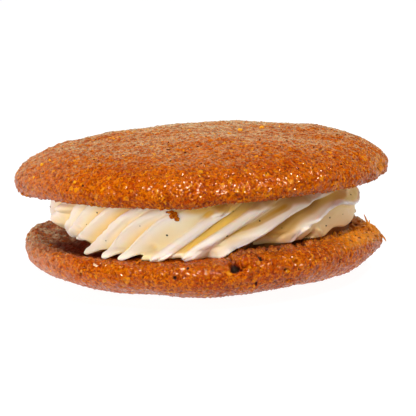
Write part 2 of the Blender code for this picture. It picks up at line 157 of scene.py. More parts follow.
def noise(p, size, seed):
    """Smooth gradient noise, about -1 to 1, with features about size across."""
    q = np.asarray(p) / size
    i = np.floor(q).astype(np.int64)
    f = q - i
    w = f * f * f * (f * (f * 6.0 - 15.0) + 10.0)
    total = np.zeros(len(q))
    for dx in (0, 1):
        for dy in (0, 1):
            for dz in (0, 1):
                h = lattice(i[:, 0] + dx, i[:, 1] + dy, i[:, 2] + dz, seed)
                gx, gy, gz = (h & 1023) / 511.5 - 1, ((h >> 10) & 1023) / 511.5 - 1, ((h >> 20) & 1023) / 511.5 - 1
                d = gx * (f[:, 0] - dx) + gy * (f[:, 1] - dy) + gz * (f[:, 2] - dz)
                total += ((w[:, 0] if dx else 1 - w[:, 0]) * (w[:, 1] if dy else 1 - w[:, 1])
                          * (w[:, 2] if dz else 1 - w[:, 2]) * d)
    return total * 1.5


def cells(p, size, seed):
    """Nearest and second nearest scattered points (in sizes) and a random value of the nearest."""
    q = np.asarray(p) / size
    i = np.floor(q).astype(np.int64)
    f = (q - i).astype(np.float32)
    first = np.full(len(q), 9.0, np.float32)
    second = first.copy()
    who = np.zeros(len(q), np.int64)
    for dx in (-1, 0, 1):
        for dy in (-1, 0, 1):
            for dz in (-1, 0, 1):
                h = lattice(i[:, 0] + dx, i[:, 1] + dy, i[:, 2] + dz, seed)
                ax = (h & 1023) / np.float32(1023) + dx - f[:, 0]
                ay = ((h >> 10) & 1023) / np.float32(1023) + dy - f[:, 1]
                az = ((h >> 20) & 1023) / np.float32(1023) + dz - f[:, 2]
                d = np.sqrt(ax * ax + ay * ay + az * az).astype(np.float32)
                closer = d < first
                second = np.where(closer, first, np.minimum(second, d))
                who = np.where(closer, h, who)
                first = np.minimum(first, d)
    chance = ((who * 2654435761) & 0xFFFFFFFF) / 4294967296.0
    return first, second, chance


def vertex_normals(points, faces):
    a, b, c = (points[faces[:, k]] for k in range(3))
    n = np.cross(b - a, c - a)
    out = np.zeros_like(points)
    for axis in range(3):
        for k in range(3):
            out[:, axis] += np.bincount(faces[:, k], n[:, axis], len(points))
    return out / (np.linalg.norm(out, axis=1)[:, None] + 1e-12)


def outward(points, faces):
    a, b, c = (points[faces[:, k]] for k in range(3))
    return faces if np.einsum("ij,ij->i", a, np.cross(b, c)).sum() > 0 else faces[:, ::-1]


def build(name, points, faces, shade, values=None, node=None, slot=None):
    """A mesh object from points in the pie frame."""
    mesh = bpy.data.meshes.new(name)
    faces = np.ascontiguousarray(faces, np.int32)
    mesh.vertices.add(len(points))
    mesh.vertices.foreach_set("co", ((points + SHIFT) * MM).astype(np.float32).ravel())
    mesh.loops.add(faces.size)
    mesh.loops.foreach_set("vertex_index", faces.ravel())
    mesh.polygons.add(len(faces))
    mesh.polygons.foreach_set("loop_start", np.arange(0, faces.size, 3, dtype=np.int32))
    mesh.polygons.foreach_set("loop_total", np.full(len(faces), 3, np.int32))
    mesh.update(calc_edges=True)
    mesh.validate()
    mesh.shade_smooth()
    for key, value in (values or {}).items():
        mesh.attributes.new(key, "FLOAT", "POINT").data.foreach_set("value", np.asarray(value, np.float32))
    mesh.materials.append(shade)
    obj = bpy.data.objects.new(name, mesh)
    bpy.context.scene.collection.objects.link(obj)
    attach(obj, "root")
    if node:
        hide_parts(node)
    return obj


# ---------------------------------------------------------------- ring meshes for the cakes
def even_points(r, z, spacing):
    step = np.hypot(np.diff(r), np.diff(z))
    s = np.concatenate([[0], np.cumsum(step / spacing((r[1:] + r[:-1]) / 2))])
    n = max(2, int(round(s[-1])))
    at = np.linspace(0, s[-1], n + 1)
    return np.interp(at, s, r), np.interp(at, s, z)


def profile(points, spacing):
    """A fine polyline through ring profiles, resampled spacing(r) apart."""
    r, z = np.array([p[0] for p in points]), np.array([p[1] for p in points])
    return even_points(r, z, spacing)


def ring_angles(count):
    """Azimuths round a ring, closer together over the front than over the back."""
    fine = np.linspace(-180.0, 180.0, 721)
    density = 0.72 + 0.28 * (1 - smooth(95.0, 125.0, np.abs(fine)))
    total = np.concatenate([[0], np.cumsum((density[1:] + density[:-1]) / 2)])
    return np.interp(np.arange(count) / count * total[-1], total, fine)


def ring_mesh(r, z, spacing):
    """Triangles over rings of different counts, from one middle to the other."""
    points, faces, previous = [], [], None
    first = 0
    for radius, height in zip(r, z):
        if radius < 0.05:
            angles = np.array([0.0])
            points.append(np.array([[0.0, 0.0, height]]))
        else:
            angles = ring_angles(int(max(12, round(1.12 * 2 * math.pi * radius / spacing(radius)))))
            t = np.radians(angles)
            points.append(np.stack([radius * np.sin(t), -radius * np.cos(t), np.full(len(t), height)], 1))
        if previous is not None:
            pf, pa = previous
            na, nb = len(pa), len(angles)
            if na == 1:
                k = np.arange(nb)
                faces.append(np.stack([np.full(nb, pf), first + k, first + (k + 1) % nb], 1))
            elif nb == 1:
                k = np.arange(na)
                faces.append(np.stack([np.full(na, first), pf + (k + 1) % na, pf + k], 1))
            else:
                # Both rings start at -180, so their steps are merged in order of azimuth.
                steps = np.concatenate([np.append(pa[1:], 180.0), np.append(angles[1:], 180.0) + 1e-6])
                which = np.concatenate([np.zeros(na, int), np.ones(nb, int)])
                order = np.argsort(steps, kind="stable")
                which = which[order]
                i = np.concatenate([[0], np.cumsum(which == 0)[:-1]])
                j = np.concatenate([[0], np.cumsum(which == 1)[:-1]])
                a, b = pf + i % na, first + j % nb
                third = np.where(which == 0, pf + (i + 1) % na, first + (j + 1) % nb)
                faces.append(np.stack([a, b, third], 1))
        previous = (first, angles)
        first += len(angles)
    return np.concatenate(points), np.concatenate(faces)


def dent(p, spot):
    az, height, wide, high, depth = spot
    across = np.radians(turned(azimuth_of(p) - az)) * np.hypot(p[:, 0], p[:, 1])
    d2 = (across / wide) ** 2 + ((p[:, 2] - height) / high) ** 2
    return depth * np.exp(-d2 ** 1.5)


def tilt_matrix():
    ax, ay = math.radians(TOP_TILT_X), math.radians(TOP_TILT_Y)
    rx = np.array([[1, 0, 0], [0, math.cos(ax), -math.sin(ax)], [0, math.sin(ax), math.cos(ax)]])
    ry = np.array([[math.cos(ay), 0, math.sin(ay)], [0, 1, 0], [-math.sin(ay), 0, math.cos(ay)]])
    return ry @ rx


def underside_height(x, y):
    n = tilt_matrix()[:, 2]
    return TOP_LIFT - (n[0] * x + n[1] * y) / n[2]


def rim_raise(az):
    return RIM_RAISE * stretch(az, RIM)


def edge_height(az):
    left = CREAM_LIFT * stretch(az, CREAM_LIFTED)
    over_rim = RIM_CLEAR + RIM_RAISE * stretch(az, (RIM[0], RIM[1], RIM_FAR, RIM_FAR + 14.0))
    far = 0.9 * stretch(az, (49.5, 56.5, 58.0, 68.0)) + 0.4 * stretch(az, (49.5, 56.5, 90.0, 104.0))
    return left + far + over_rim * stretch(az, (4.0, 11.0, RIM_FAR, RIM_FAR + 14.0))


# ---------------------------------------------------------------- crust
def crust_relief(p, rough):
    """Height (mm) of the wrinkled crust at each point, and its relief (0 pits, 1 tops)."""
    lumps = 0.13 * noise(p, 5.2, 11) + 0.11 * noise(p, 2.6, 12)
    warped = p + 0.40 * np.stack([noise(p, 1.9, 13), noise(p, 1.9, 14), noise(p, 1.9, 15)], 1)
    f1, f2, _ = cells(warped, 1.15, 16)
    pebble = smooth(0.0, 0.6, f2 - f1)
    fine = noise(p, 0.75, 17)
    wrinkle = (1.0 - np.abs(noise(warped, 1.6, 18)) * 1.7).clip(0, 1) ** 1.5
    crease = (1.0 - np.abs(noise(warped, 1.05, 20)) * 1.7).clip(0, 1) ** 1.5
    f3, _, chance = cells(p, 3.1, 19)
    pore = np.where(chance < 0.30, np.exp(-(f3 * 3.1 / (0.25 + 0.5 * chance)) ** 2), 0.0)
    height = lumps + (0.12 * (pebble - 0.6) + 0.12 * fine + 0.27 * (wrinkle - 0.4) + 0.19 * (crease - 0.4)) * (
        0.85 + rough) - 0.35 * pore
    # The relief later darkens the crust's colour: partly the crumb's own darker colour in the troughs, partly painted
    # shade in troughs and pores.
    relief = np.clip(0.30 + 0.20 * pebble + 0.14 * fine + 0.34 * (wrinkle - 0.3) + 0.24 * (crease - 0.3) + 0.15, 0, 1)
    return height, relief * (1 - 0.9 * pore)


def open_crumb(p):
    """Torn, open crumb: deep ragged holes between coarse lumps."""
    warped = p + 0.6 * np.stack([noise(p, 1.3, 31), noise(p, 1.3, 32), noise(p, 1.3, 33)], 1)
    f1, f2, chance = cells(warped, 1.5, 34)
    hole = np.where(chance < 0.45, 1 - smooth(0.25, 0.6, f1), 0.0)
    lump = smooth(0.0, 0.5, f2 - f1)
    return 0.50 * (lump - 0.5) + 0.32 * noise(p, 0.9, 35) - 1.3 * hole, np.clip(lump * 0.7 + 0.3 - hole, 0, 1)


def cake_top():
    t = np.linspace(0, math.pi / 2, 60)
    corner = list(zip(TOP_RADIUS - TOP_CORNER + TOP_CORNER * np.sin(t), TOP_WIDEST - TOP_WIDEST * np.cos(t)))
    x = np.sin(np.linspace(math.pi / 2, 0, 600))
    dome = list(zip(TOP_RADIUS * x, TOP_WIDEST + (TOP_THICK - TOP_WIDEST) * (1 - x ** TOP_DOME[0]) ** (1 / TOP_DOME[1])))
    flat = [(r, 0.0) for r in np.linspace(0, corner[0][0], 300)][:-1]
    spacing = lambda r: np.interp(r, [0, 18, 32, 38, 45], [0.55, 0.46, 0.36, 0.30, 0.28])
    under = lambda r: np.interp(r, [0, 30, 34, 40, 45], [2.4, 2.0, 0.8, 0.45, 0.30])
    ru, zu = profile(flat + corner[:1], under)
    ro, zo = profile(corner + dome[1:], spacing)
    r, z = np.concatenate([ru[:-1], ro]), np.concatenate([zu[:-1], zo])
    r[0] = 0.0
    r[-1] = 0.0
    below = len(ru)
    count = {"k": 0}

    def at(radius):
        count["k"] += 1
        return under(radius) if count["k"] < below else spacing(radius)

    points, faces = ring_mesh(r, z, at)
    faces = outward(points - [0, 0, 5], faces)
    normals = vertex_normals(points, faces)
    radius = np.hypot(points[:, 0], points[:, 1])
    free = np.clip(smooth(39.0, 44.0, radius) + smooth(0.3, 3.0, points[:, 2]), 0, 1)
    uneven = waves(48003, 9, 14.0, 34.0, 0.30)(points) + waves(4, 8, 6.0, 10.0, 0.10)(points)
    base = points + normals * (uneven * free)[:, None]
    normals = vertex_normals(base, faces)
    az = azimuth_of(base)
    torn = np.exp(-((turned(az - TOP_TEAR[0]) / 4.2) ** 2 + ((base[:, 2] - TOP_TEAR[1]) / 2.6) ** 2) ** 1.5)
    torn = np.maximum(torn, np.exp(-((turned(az - TOP_NOTCH[0]) / 5.0) ** 2 + ((base[:, 2] - TOP_NOTCH[1]) / 1.8) ** 2) ** 1.5))
    rough = smooth(30.0, 44.0, radius) * 0.25
    height, relief = crust_relief(base, rough)
    ragged, crumb_relief = open_crumb(base)
    shown = smooth(31.0, 36.0, radius) + smooth(0.1, 1.0, points[:, 2])
    height = height * (1 - torn) + ragged * 0.8 * torn
    relief = relief * (1 - torn) + crumb_relief * torn
    height = height * np.clip(shown, 0, 1) - 0.10 - dent(base, TOP_TEAR) - dent(base, TOP_NOTCH)
    points = base + normals * height[:, None]
    points = points @ tilt_matrix().T + np.array([0, 0, TOP_LIFT])
    return points, faces, {"relief": relief, "crumb": torn, "painted_shade": np.zeros(len(points))}


def cake_bottom():
    top = BASE_THICK
    t = np.linspace(0, math.pi / 2, 80)
    corner = list(zip(BASE_RADIUS - BASE_CORNER + BASE_CORNER * np.sin(t), top - (BASE_WIDEST - BASE_WIDEST * np.cos(t))))
    x = np.sin(np.linspace(math.pi / 2, 0, 600))
    dome = [(BASE_RADIUS * s, top - (BASE_WIDEST + (BASE_THICK - BASE_WIDEST) * (1 - s ** BASE_DOME[0]) ** (1 / BASE_DOME[1])))
            for s in x]
    foot = max(r for r, z in dome if z < FOOT_CUT)
    dome = [(r, z) for r, z in dome if z >= FOOT_CUT] + [(r, FOOT_CUT) for r in np.linspace(foot, 0.0, 80)]
    flat = [(r, top) for r in np.linspace(0, corner[0][0], 300)][:-1]
    upper = lambda r: np.interp(r, [0, 29, 31.5, 33.5, 41, 43.3], [2.4, 1.6, 0.6, 0.30, 0.28, 0.27])
    lower = lambda r: np.interp(r, [0, 14, 30, 38, 43.3], [0.9, 0.6, 0.46, 0.34, 0.28])
    ru, zu = profile(flat + corner, upper)
    ro, zo = profile([corner[-1]] + dome[1:], lower)
    r, z = np.concatenate([ru[:-1], ro]), np.concatenate([zu[:-1], zo])
    r[0] = 0.0
    r[-1] = 0.0
    above = len(ru)
    count = {"k": 0}

    def at(radius):
        count["k"] += 1
        return upper(radius) if count["k"] < above else lower(radius)

    points, faces = ring_mesh(r, z, at)
    faces = outward(points - [0, 0, top / 2], faces)
    normals = vertex_normals(points, faces)
    radius, az = np.hypot(points[:, 0], points[:, 1]), azimuth_of(points)
    on_face = points[:, 2] > top - 0.02
    free = np.where(on_face, smooth(40.5, 43.0, radius), smooth(FOOT_CUT, 3.0, points[:, 2]))
    uneven = waves(13, 9, 14.0, 34.0, 0.28)(points) + waves(14, 8, 6.0, 10.0, 0.10)(points)
    low = (0.60 * np.exp(-(turned(az - 2.0) / 20.0) ** 2) + 0.35 * np.exp(-(turned(az + 48.0) / 26.0) ** 2)
           + 0.10 * np.exp(-(turned(az - 60.0) / 20.0) ** 2))
    low = low * smooth(20.0, 32.0, radius) * (1 - smooth(5.0, 9.5, points[:, 2]))
    base = points + normals * ((uneven + low) * free)[:, None]
    side = smooth(4.5, 10.5, points[:, 2])
    lift = rim_raise(az) * smooth(33.4, 35.4, radius) * side
    lift += np.where(on_face, stretch(az, RIM), 0.0) * (
        0.25 * np.exp(-((radius - 34.8) / 0.8) ** 2) - 0.35 * np.exp(-((radius - 36.7) / 0.8) ** 2)
        + 0.15 * np.exp(-((radius - 38.4) / 0.9) ** 2))
    # The face dips towards the cream at the left, where the cream doesn't reach down to it.
    under = stretch(az, (-112.0, -98.0, -48.0, -30.0))
    lift -= 0.8 * under * on_face * smooth(29.5, 32.5, radius) * (1 - smooth(36.0, 41.0, radius))
    lift -= RIM_DROOP * np.exp(-(turned(az - 97.0) / 15.0) ** 2) * smooth(37.5, 41.5, radius) * side
    lift += 0.35 * np.exp(-(turned(az + 100.0) / 16.0) ** 2) * smooth(38.5, 41.5, radius) * side
    flat_points = base.copy()
    base = base.copy()
    base[:, 2] += lift
    normals = vertex_normals(base, faces)
    height, relief = crust_relief(flat_points + [40.0, 10.0, 60.0], 0.2 * smooth(2.0, 9.0, points[:, 2]))
    ragged, crumb_relief = open_crumb(flat_points)
    # Behind the lip the crumb rises to the cream's lower edge.
    strip = stretch(az, (6.0, 14.0, 74.0, 92.0)) * on_face
    base[:, 2] += 0.62 * strip * (1 - smooth(34.6, 36.4, radius))
    # The crumb is torn open behind the lip at the front right, and rough near the far right edge.
    torn = stretch(az, (3.0, 12.0, 66.0, 84.0)) * np.exp(-((radius - 35.9) / 2.0) ** 4) * smooth(10.6, 11.3, points[:, 2])
    torn = np.maximum(torn, 0.85 * stretch(az, (44.0, 60.0, 100.0, 108.0)) * smooth(34.5, 36.5, radius) * smooth(9.4, 10.9, points[:, 2]))
    torn = np.maximum(torn, 0.35 * stretch(az, (-100.0, -88.0, -50.0, -40.0)) * np.exp(-((radius - 38.5) / 1.6) ** 2) * on_face)
    height = height * (1 - torn) + ragged * torn
    relief = relief * (1 - torn) + crumb_relief * torn
    shown = np.where(on_face, smooth(31.0, 34.0, radius), 1.0) * smooth(FOOT_CUT + 0.02, FOOT_CUT + 0.5, points[:, 2])
    holes = np.zeros(len(points))
    dark = np.zeros(len(points))
    # Each pit is also painted dark inside: painted shade, carried by the relief and the shade mask.
    for spot in PITS:
        d = dent(base, spot)
        holes = np.maximum(holes, d)
        dark = np.maximum(dark, d / spot[4] * np.interp(spot[4], (0.55, 0.6, 1.0, 1.4, 2.0, 3.0), (0.2, 1.0, 1.0, 0.31, 0.31, 1.0)))
    height = height * shown * (1 - 0.5 * dark) - 0.08 * shown - holes
    points = base + normals * height[:, None]
    points[:, 2] = np.maximum(points[:, 2], FOOT_CUT)
    # The crumb beside and under the cream and inside the pits is painted dark: painted shade.
    shade_mask = stretch(az, (-86.0, -71.0, -32.0, -14.0)) * (1 - smooth(36.4, 40.4, radius + 0.8 * noise(points, 2.6, 41)))
    shade_mask = np.maximum(shade_mask, (0.75 - 0.35 * smooth(34.0, 46.0, turned(az))) * stretch(az, (4.0, 12.0, 62.0, 80.0)) * (
        1 - smooth(34.9, 37.2, radius + 0.6 * noise(points, 1.8, 42))))
    shade_mask = np.maximum(shade_mask, 0.5 * (1 - smooth(34.5, 36.5, radius)))
    shade_mask = np.maximum(shade_mask * on_face, 1.6 * smooth(0.12, 0.42, dark))
    return points, faces, {"relief": relief * (1 - 0.95 * np.clip(dark, 0, 1)), "crumb": torn, "painted_shade": shade_mask}


# Open pores of the lower cake: azimuth, height, half width, half height, depth.
PITS = [
    (9.8, 11.0, 1.05, 1.15, 4.0), (12.6, 11.6, 0.8, 0.8, 2.0), (11.4, 10.4, 1.2, 0.5, 1.4), (18.0, 12.5, 0.40, 0.32, 0.9),
    (24.6, 12.3, 0.36, 0.30, 0.5), (25.8, 9.4, 0.75, 0.45, 1.4), (16.2, 6.85, 0.30, 0.25, 0.6),
    (-4.6, 11.0, 0.24, 0.20, 0.6), (-8.3, 9.1, 0.38, 0.36, 0.7), (27.6, 6.6, 1.10, 0.30, 0.5),
    (-65.1, 11.05, 0.60, 0.30, 0.4), (38.0, 10.9, 0.45, 0.30, 0.5), (-40.0, 8.2, 0.25, 0.22, 0.6),
]


# ---------------------------------------------------------------- cream
def climbing(points):
    """A crest's azimuth at a height, its corners rounded."""
    heights, angles = [h for h, _ in points], [a for _, a in points]
    slope = (angles[-1] - angles[-2]) / (heights[-1] - heights[-2])
    heights, angles = heights + [heights[-1] + 8.0], angles + [angles[-1] + 8.0 * slope]

    def at(z):
        return sum(np.interp(z + d, heights, angles) for d in (-0.6, -0.3, 0.0, 0.3, 0.6)) / 5.0

    return at


def crest_table():
    names = ("lean", "depth", "fall", "rise", "toe", "notch", "fades")
    crests = [(climbing(points), dict(zip(names, rest))) for points, *rest in FOLDS]
    rng = random.Random(BACK_SEED)
    first, last = 93.0, FOLDS[0][0][0][1] + 360.0
    gap = (last - first) / BACK_FOLDS
    for k in range(BACK_FOLDS):
        foot = first + gap * k + (rng.uniform(-0.2, 0.2) * gap if k else 0.0)
        sweep = SWEEP + rng.uniform(-2.0, 2.0) + 14.0 * math.exp(-k / 2.0)
        power = rng.uniform(1.0, 1.3)
        valley = (-0.85, rng.uniform(1.2, 1.9), 0.0, rng.uniform(0.7, 1.0), rng.uniform(0.5, 1.2),
                  (rng.uniform(0.6, 1.9), 0.75, 0.86, 1.0), (30.0, 31.0))
        crests.append((lambda z, f=foot, s=sweep, w=power:
                       f + s * (np.clip(z - CREST_START, 0, None) / CREST_RISE) ** w,
                       dict(zip(names, valley))))
    return crests


def crest_line(curve):
    z = np.linspace(9.0, 27.0, 400)
    x = np.radians(curve(z)) * CREAM_BULGE
    s = np.concatenate([[0], np.cumsum(np.hypot(np.diff(x), np.diff(z)))])
    at = np.linspace(0, s[-1], int(s[-1] / 0.2))
    return np.interp(at, s, x), np.interp(at, s, z)


def distance_to(line, az, z):
    """Shortest distance on the unrolled side from points to a crest, sought near their height."""
    if not len(az):
        return np.zeros(0)
    turn = 2 * math.pi * CREAM_BULGE
    middle = np.interp(z, line[1], line[0])
    x = np.radians(az) * CREAM_BULGE
    x = middle + (x - middle + turn / 2) % turn - turn / 2
    out = np.empty(len(x))
    lx, lz = line[0].astype(np.float32), line[1].astype(np.float32)
    for k in range(0, len(x), 3000):
        q = slice(k, k + 3000)
        out[q] = np.sqrt(((x[q, None].astype(np.float32) - lx) ** 2 + (z[q, None].astype(np.float32) - lz) ** 2).min(1))
    return out


# Lobes, curls and dimples on the cream: azimuth, height, half width, half height, slant in
# degrees, how far it stands out (mm), exponent of its edge. A lobe has a crease round it, painted
# shaded; a dimple is painted shaded inside.
LOBES = [
    (-62.0, 20.4, 4.0, 0.95, 8.0, 1.1, 3.0),     # rolled strand at the left end
    (-59.0, 18.9, 1.6, 0.7, 10.0, -1.0, 2.0),
    (-71.0, 16.2, 3.3, 2.2, 12.0, 1.0, 3.0),     # blob under it
    (-68.5, 17.0, 0.9, 0.8, 0.0, -0.5, 2.0),
    (-55.0, 15.4, 2.4, 1.2, 32.0, 0.9, 3.0),
    (-38.6, 12.6, 1.0, 1.2, 60.0, 0.8, 2.5),     # small feet between the toes
    (-30.5, 12.7, 1.0, 1.2, 60.0, 0.8, 2.5),
    (-19.9, 12.3, 2.5, 0.95, 8.0, 1.6, 3.0),     # curled toe
    (-18.4, 14.3, 0.9, 0.6, 20.0, -0.8, 2.0),
    (-9.6, 12.5, 2.8, 0.75, 6.0, 1.0, 3.0),
    (3.6, 12.7, 5.0, 1.2, 5.0, 0.35, 3.0),      # broad white foot
    (5.0, 22.7, 1.9, 0.9, 12.0, 1.5, 3.0),       # small lobe under the upper cake
    (1.7, 22.1, 2.2, 0.9, 32.0, -1.1, 2.0),
    (6.9, 22.0, 0.6, 0.4, 35.0, -0.8, 2.0),
    (22.5, 14.3, 5.2, 1.2, 5.0, 0.75, 3.0),       # lobes low at the right
    (31.5, 14.7, 1.8, 1.2, 30.0, 0.55, 2.5),
    (39.2, 15.6, 1.7, 1.7, 25.0, 0.8, 3.0),      # small curl, a hole beside it painted dark with shade
    (43.2, 14.4, 0.8, 0.8, 0.0, -2.2, 2.0),
    (46.2, 15.2, 1.7, 0.8, -42.0, 0.6, 3.0),
]
# Soft creases inside a fold: (azimuth, height)…, depth, half width, and how strongly they are painted shaded.
CREASES = [
    (((0.5, 14.2), (2.3, 14.7), (11.8, 17.6), (18.8, 19.2), (25.5, 21.3), (30.7, 22.7), (34.2, 23.6)), 0.55, 0.65, 2.1),
]


def cream_surface(az, z, top, edge, crests, lines):
    """Radius, lean (mm), and how deep in a valley and how near a crest each point is; these set the cream's painted
    shade and painted highlight.
    """
    t = np.clip((z - edge) / (top - edge), 0.0, 1.0)
    foot = CREAM_FOOT + CREAM_SPREAD * np.exp(-(turned(az - CREAM_SPREAD_AT) / CREAM_SPREAD_WIDTH) ** 2)
    body = foot + (CREAM_BULGE - foot) * smooth(0.0, 0.30, t) - CREAM_TOP_IN * smooth(0.72, 1.0, t)
    end = stretch(az, (40.0, 50.0, 106.0, 124.0))
    body += end * (36.9 - body) * (1 - smooth(0.6, 1.0, t))
    low = 1 - smooth(0.0, 2.4, z - edge)
    angles = [c(z) for c, _ in crests]
    out = body.copy()
    valley, crest, lean = np.zeros(len(az)), np.zeros(len(az)), np.zeros(len(az))
    ragged = 1.0 + 0.35 * (1 - 0.8 * end) * noise(np.stack([np.radians(az) * CREAM_BULGE, z, 0 * z], 1), 1.1, 57)
    for k, (_, v) in enumerate(crests):
        nxt = (k + 1) % len(crests)
        after = crests[nxt][1]
        wide = (angles[nxt] - angles[k]) % 360.0
        here = ((az - angles[k]) % 360.0) < wide
        left = distance_to(lines[k], az[here], z[here])
        right = distance_to(lines[nxt], az[here], z[here])
        here_back, next_back = BACKS.get(k, 0.25), BACKS.get(nxt, 0.25)
        near_left, near_right = np.clip(left / here_back, 0, 1), np.clip(right / next_back, 0, 1)
        rounded = 0.30 * (here_back * (near_left ** 2 - 1) + next_back * (near_right ** 2 - 1))
        left, right = np.clip(left - here_back, 0, None), np.clip(right - next_back, 0, None)
        width = left + right + 1e-6
        rise = np.minimum(v["rise"], 0.72 * width)
        if v["fall"]:
            down = smooth(0.0, 1.0, left / np.minimum(v["fall"], 0.6 * width))
        else:
            x = np.clip(left / (width - rise), 0.0, 1.0)
            down = 0.75 * x ** 1.7 + 0.25 * smooth(0.0, 0.5, x)
        up = smooth(0.0, 1.0, right / rise)
        fade = 1 - smooth(v["fades"][0], v["fades"][1], z[here])
        depth = DEEPER * v["depth"] * np.clip(width / (1.4 if k == 7 else 3.6), 0.0, 1.0) * (1.0 + 0.4 * low[here]) * (0.15 + 0.85 * fade)
        recess = depth * down * up
        bank = np.exp(-(left / 1.2) ** 2) if v["lean"] < 0 else np.exp(-(left / 0.5) ** 2)
        side = np.exp(-(right / 0.5) ** 2) if after["lean"] < 0 else np.exp(-(right / 1.2) ** 2)
        toe = low[here] * (v["toe"] * np.exp(-(left / 1.3) ** 2) + after["toe"] * np.exp(-(right / 0.8) ** 2))
        lip = 0.10 * ragged[here] * (np.exp(-(left / 0.35) ** 2) * fade + np.exp(-(right / 0.35) ** 2))
        out[here] = body[here] - recess + toe + lip - rounded - 0.30 * (here_back + next_back)
        # Valley depth sets the painted shade here, nearness to a crest the painted highlight.
        valley[here] = recess / 1.6 * VALLEY_SHADE.get(k, 1.0)
        crest[here] = np.maximum(bank * fade, side)
        strength = np.clip(width / 3.6, 0.0, 1.0)
        lean[here] = strength * ragged[here] * np.where(left < right, v["lean"] * bank * fade, after["lean"] * side)
    # The thin edge round the right end: the tier above it overhangs the one below.
    near = (turned(az) > 34.0) & (turned(az) < 100.0)
    x, h = np.radians(turned(az[near])) * CREAM_BULGE, z[near]
    sx, sz = np.radians(np.array([a for a, _ in SHELF])) * CREAM_BULGE, np.array([b for _, b in SHELF])
    fine = np.linspace(0, len(sx) - 1, 240)
    sx, sz = np.interp(fine, np.arange(len(sx)), sx), np.interp(fine, np.arange(len(sz)), sz)
    away = np.sqrt((x[:, None] - sx) ** 2 + (h[:, None] - sz) ** 2).min(1)
    above = h - np.interp(x, sx, sz)
    signed = np.where(above > 0, away, -away)
    shown = smooth(38.0, 44.0, turned(az[near])) * (1 - smooth(90.0, 99.0, turned(az[near])))
    tier = 1.1 * smooth(-0.26, 0.04, signed) - 0.55 * smooth(0.45, 0.95, signed) - 1.8 * smooth(0.8, 3.8, signed)
    tier += 0.25 * np.exp(-((signed + 2.6) / 1.6) ** 2)
    out[near] += shown * ragged[near] * tier
    # The thin edge is painted as a pale highlight; above it, and in a thin line below it, the cream is painted shaded.
    crest[near] = np.maximum(crest[near], 1.5 * shown * np.exp(-((signed - 0.28) / 0.42) ** 4))
    valley[near] = np.maximum(valley[near], smooth(38.0, 60.0, turned(az[near])) * shown * (1.1 - 0.3 * smooth(1.2, 3.0, signed)) * smooth(0.5, 1.4, signed))
    valley[near] = np.maximum(valley[near], shown * 0.7 * np.exp(-((signed + 0.6) / 0.5) ** 2))
    for line, deep, half, crease_shade in CREASES:
        la, lz = np.array([a for a, _ in line]), np.array([b for _, b in line])
        at = np.clip(turned(az), la[0], la[-1])
        slope = (np.interp(at + 1.0, la, lz) - np.interp(at - 1.0, la, lz)) / math.radians(2.0) / CREAM_BULGE
        away = (z - np.interp(at, la, lz)) / np.hypot(1.0, slope)
        along = (turned(az) - la[0]) / (la[-1] - la[0])
        shown = smooth(0.0, 0.25, along) * (1 - smooth(0.85, 1.05, along))
        groove = shown * np.exp(-(away / (half * (0.6 + 0.8 * np.clip(along, 0, 1)))) ** 2)
        out -= deep * groove
        valley = np.maximum(valley, groove * (0.6 + (crease_shade - 0.6) * np.clip(along, 0, 1)))
    for a0, z0, wide, high, slant, amount, power in LOBES:
        dx = np.radians(turned(az - a0)) * CREAM_BULGE
        dz = z - z0
        c, s = math.cos(math.radians(slant)), math.sin(math.radians(slant))
        d = np.hypot((dx * c + dz * s) / wide, (dz * c - dx * s) / high)
        out += amount * np.exp(-d ** power)
        # Dimples and the creases round lobes get painted shade; a lobe's own top gets less.
        if amount < 0:
            valley = np.maximum(valley, np.exp(-d ** power) * min(2.4, -1.1 * amount))
        else:
            ring = np.exp(-((d - 1.25) / 0.22) ** 2)
            out -= 0.18 * amount * ring
            valley = np.maximum(valley * (1 - 0.7 * np.exp(-d ** 4)), 0.30 * amount * ring)
    # Close under the upper cake the cream is painted with golden brown shade, most between the middle and right.
    shade_under_cake = 0.45 + 0.75 * stretch(az, (-14.0, -5.0, 36.0, 50.0)) * (0.75 + 0.5 * noise(np.stack([np.radians(az) * CREAM_BULGE, z, 0 * z], 1), 3.0, 61))
    valley = np.maximum(valley, shade_under_cake * smooth(4.4, 1.8, top - z))
    return out, lean, valley, crest * (1 - 0.9 * smooth(0.35, 0.9, valley))


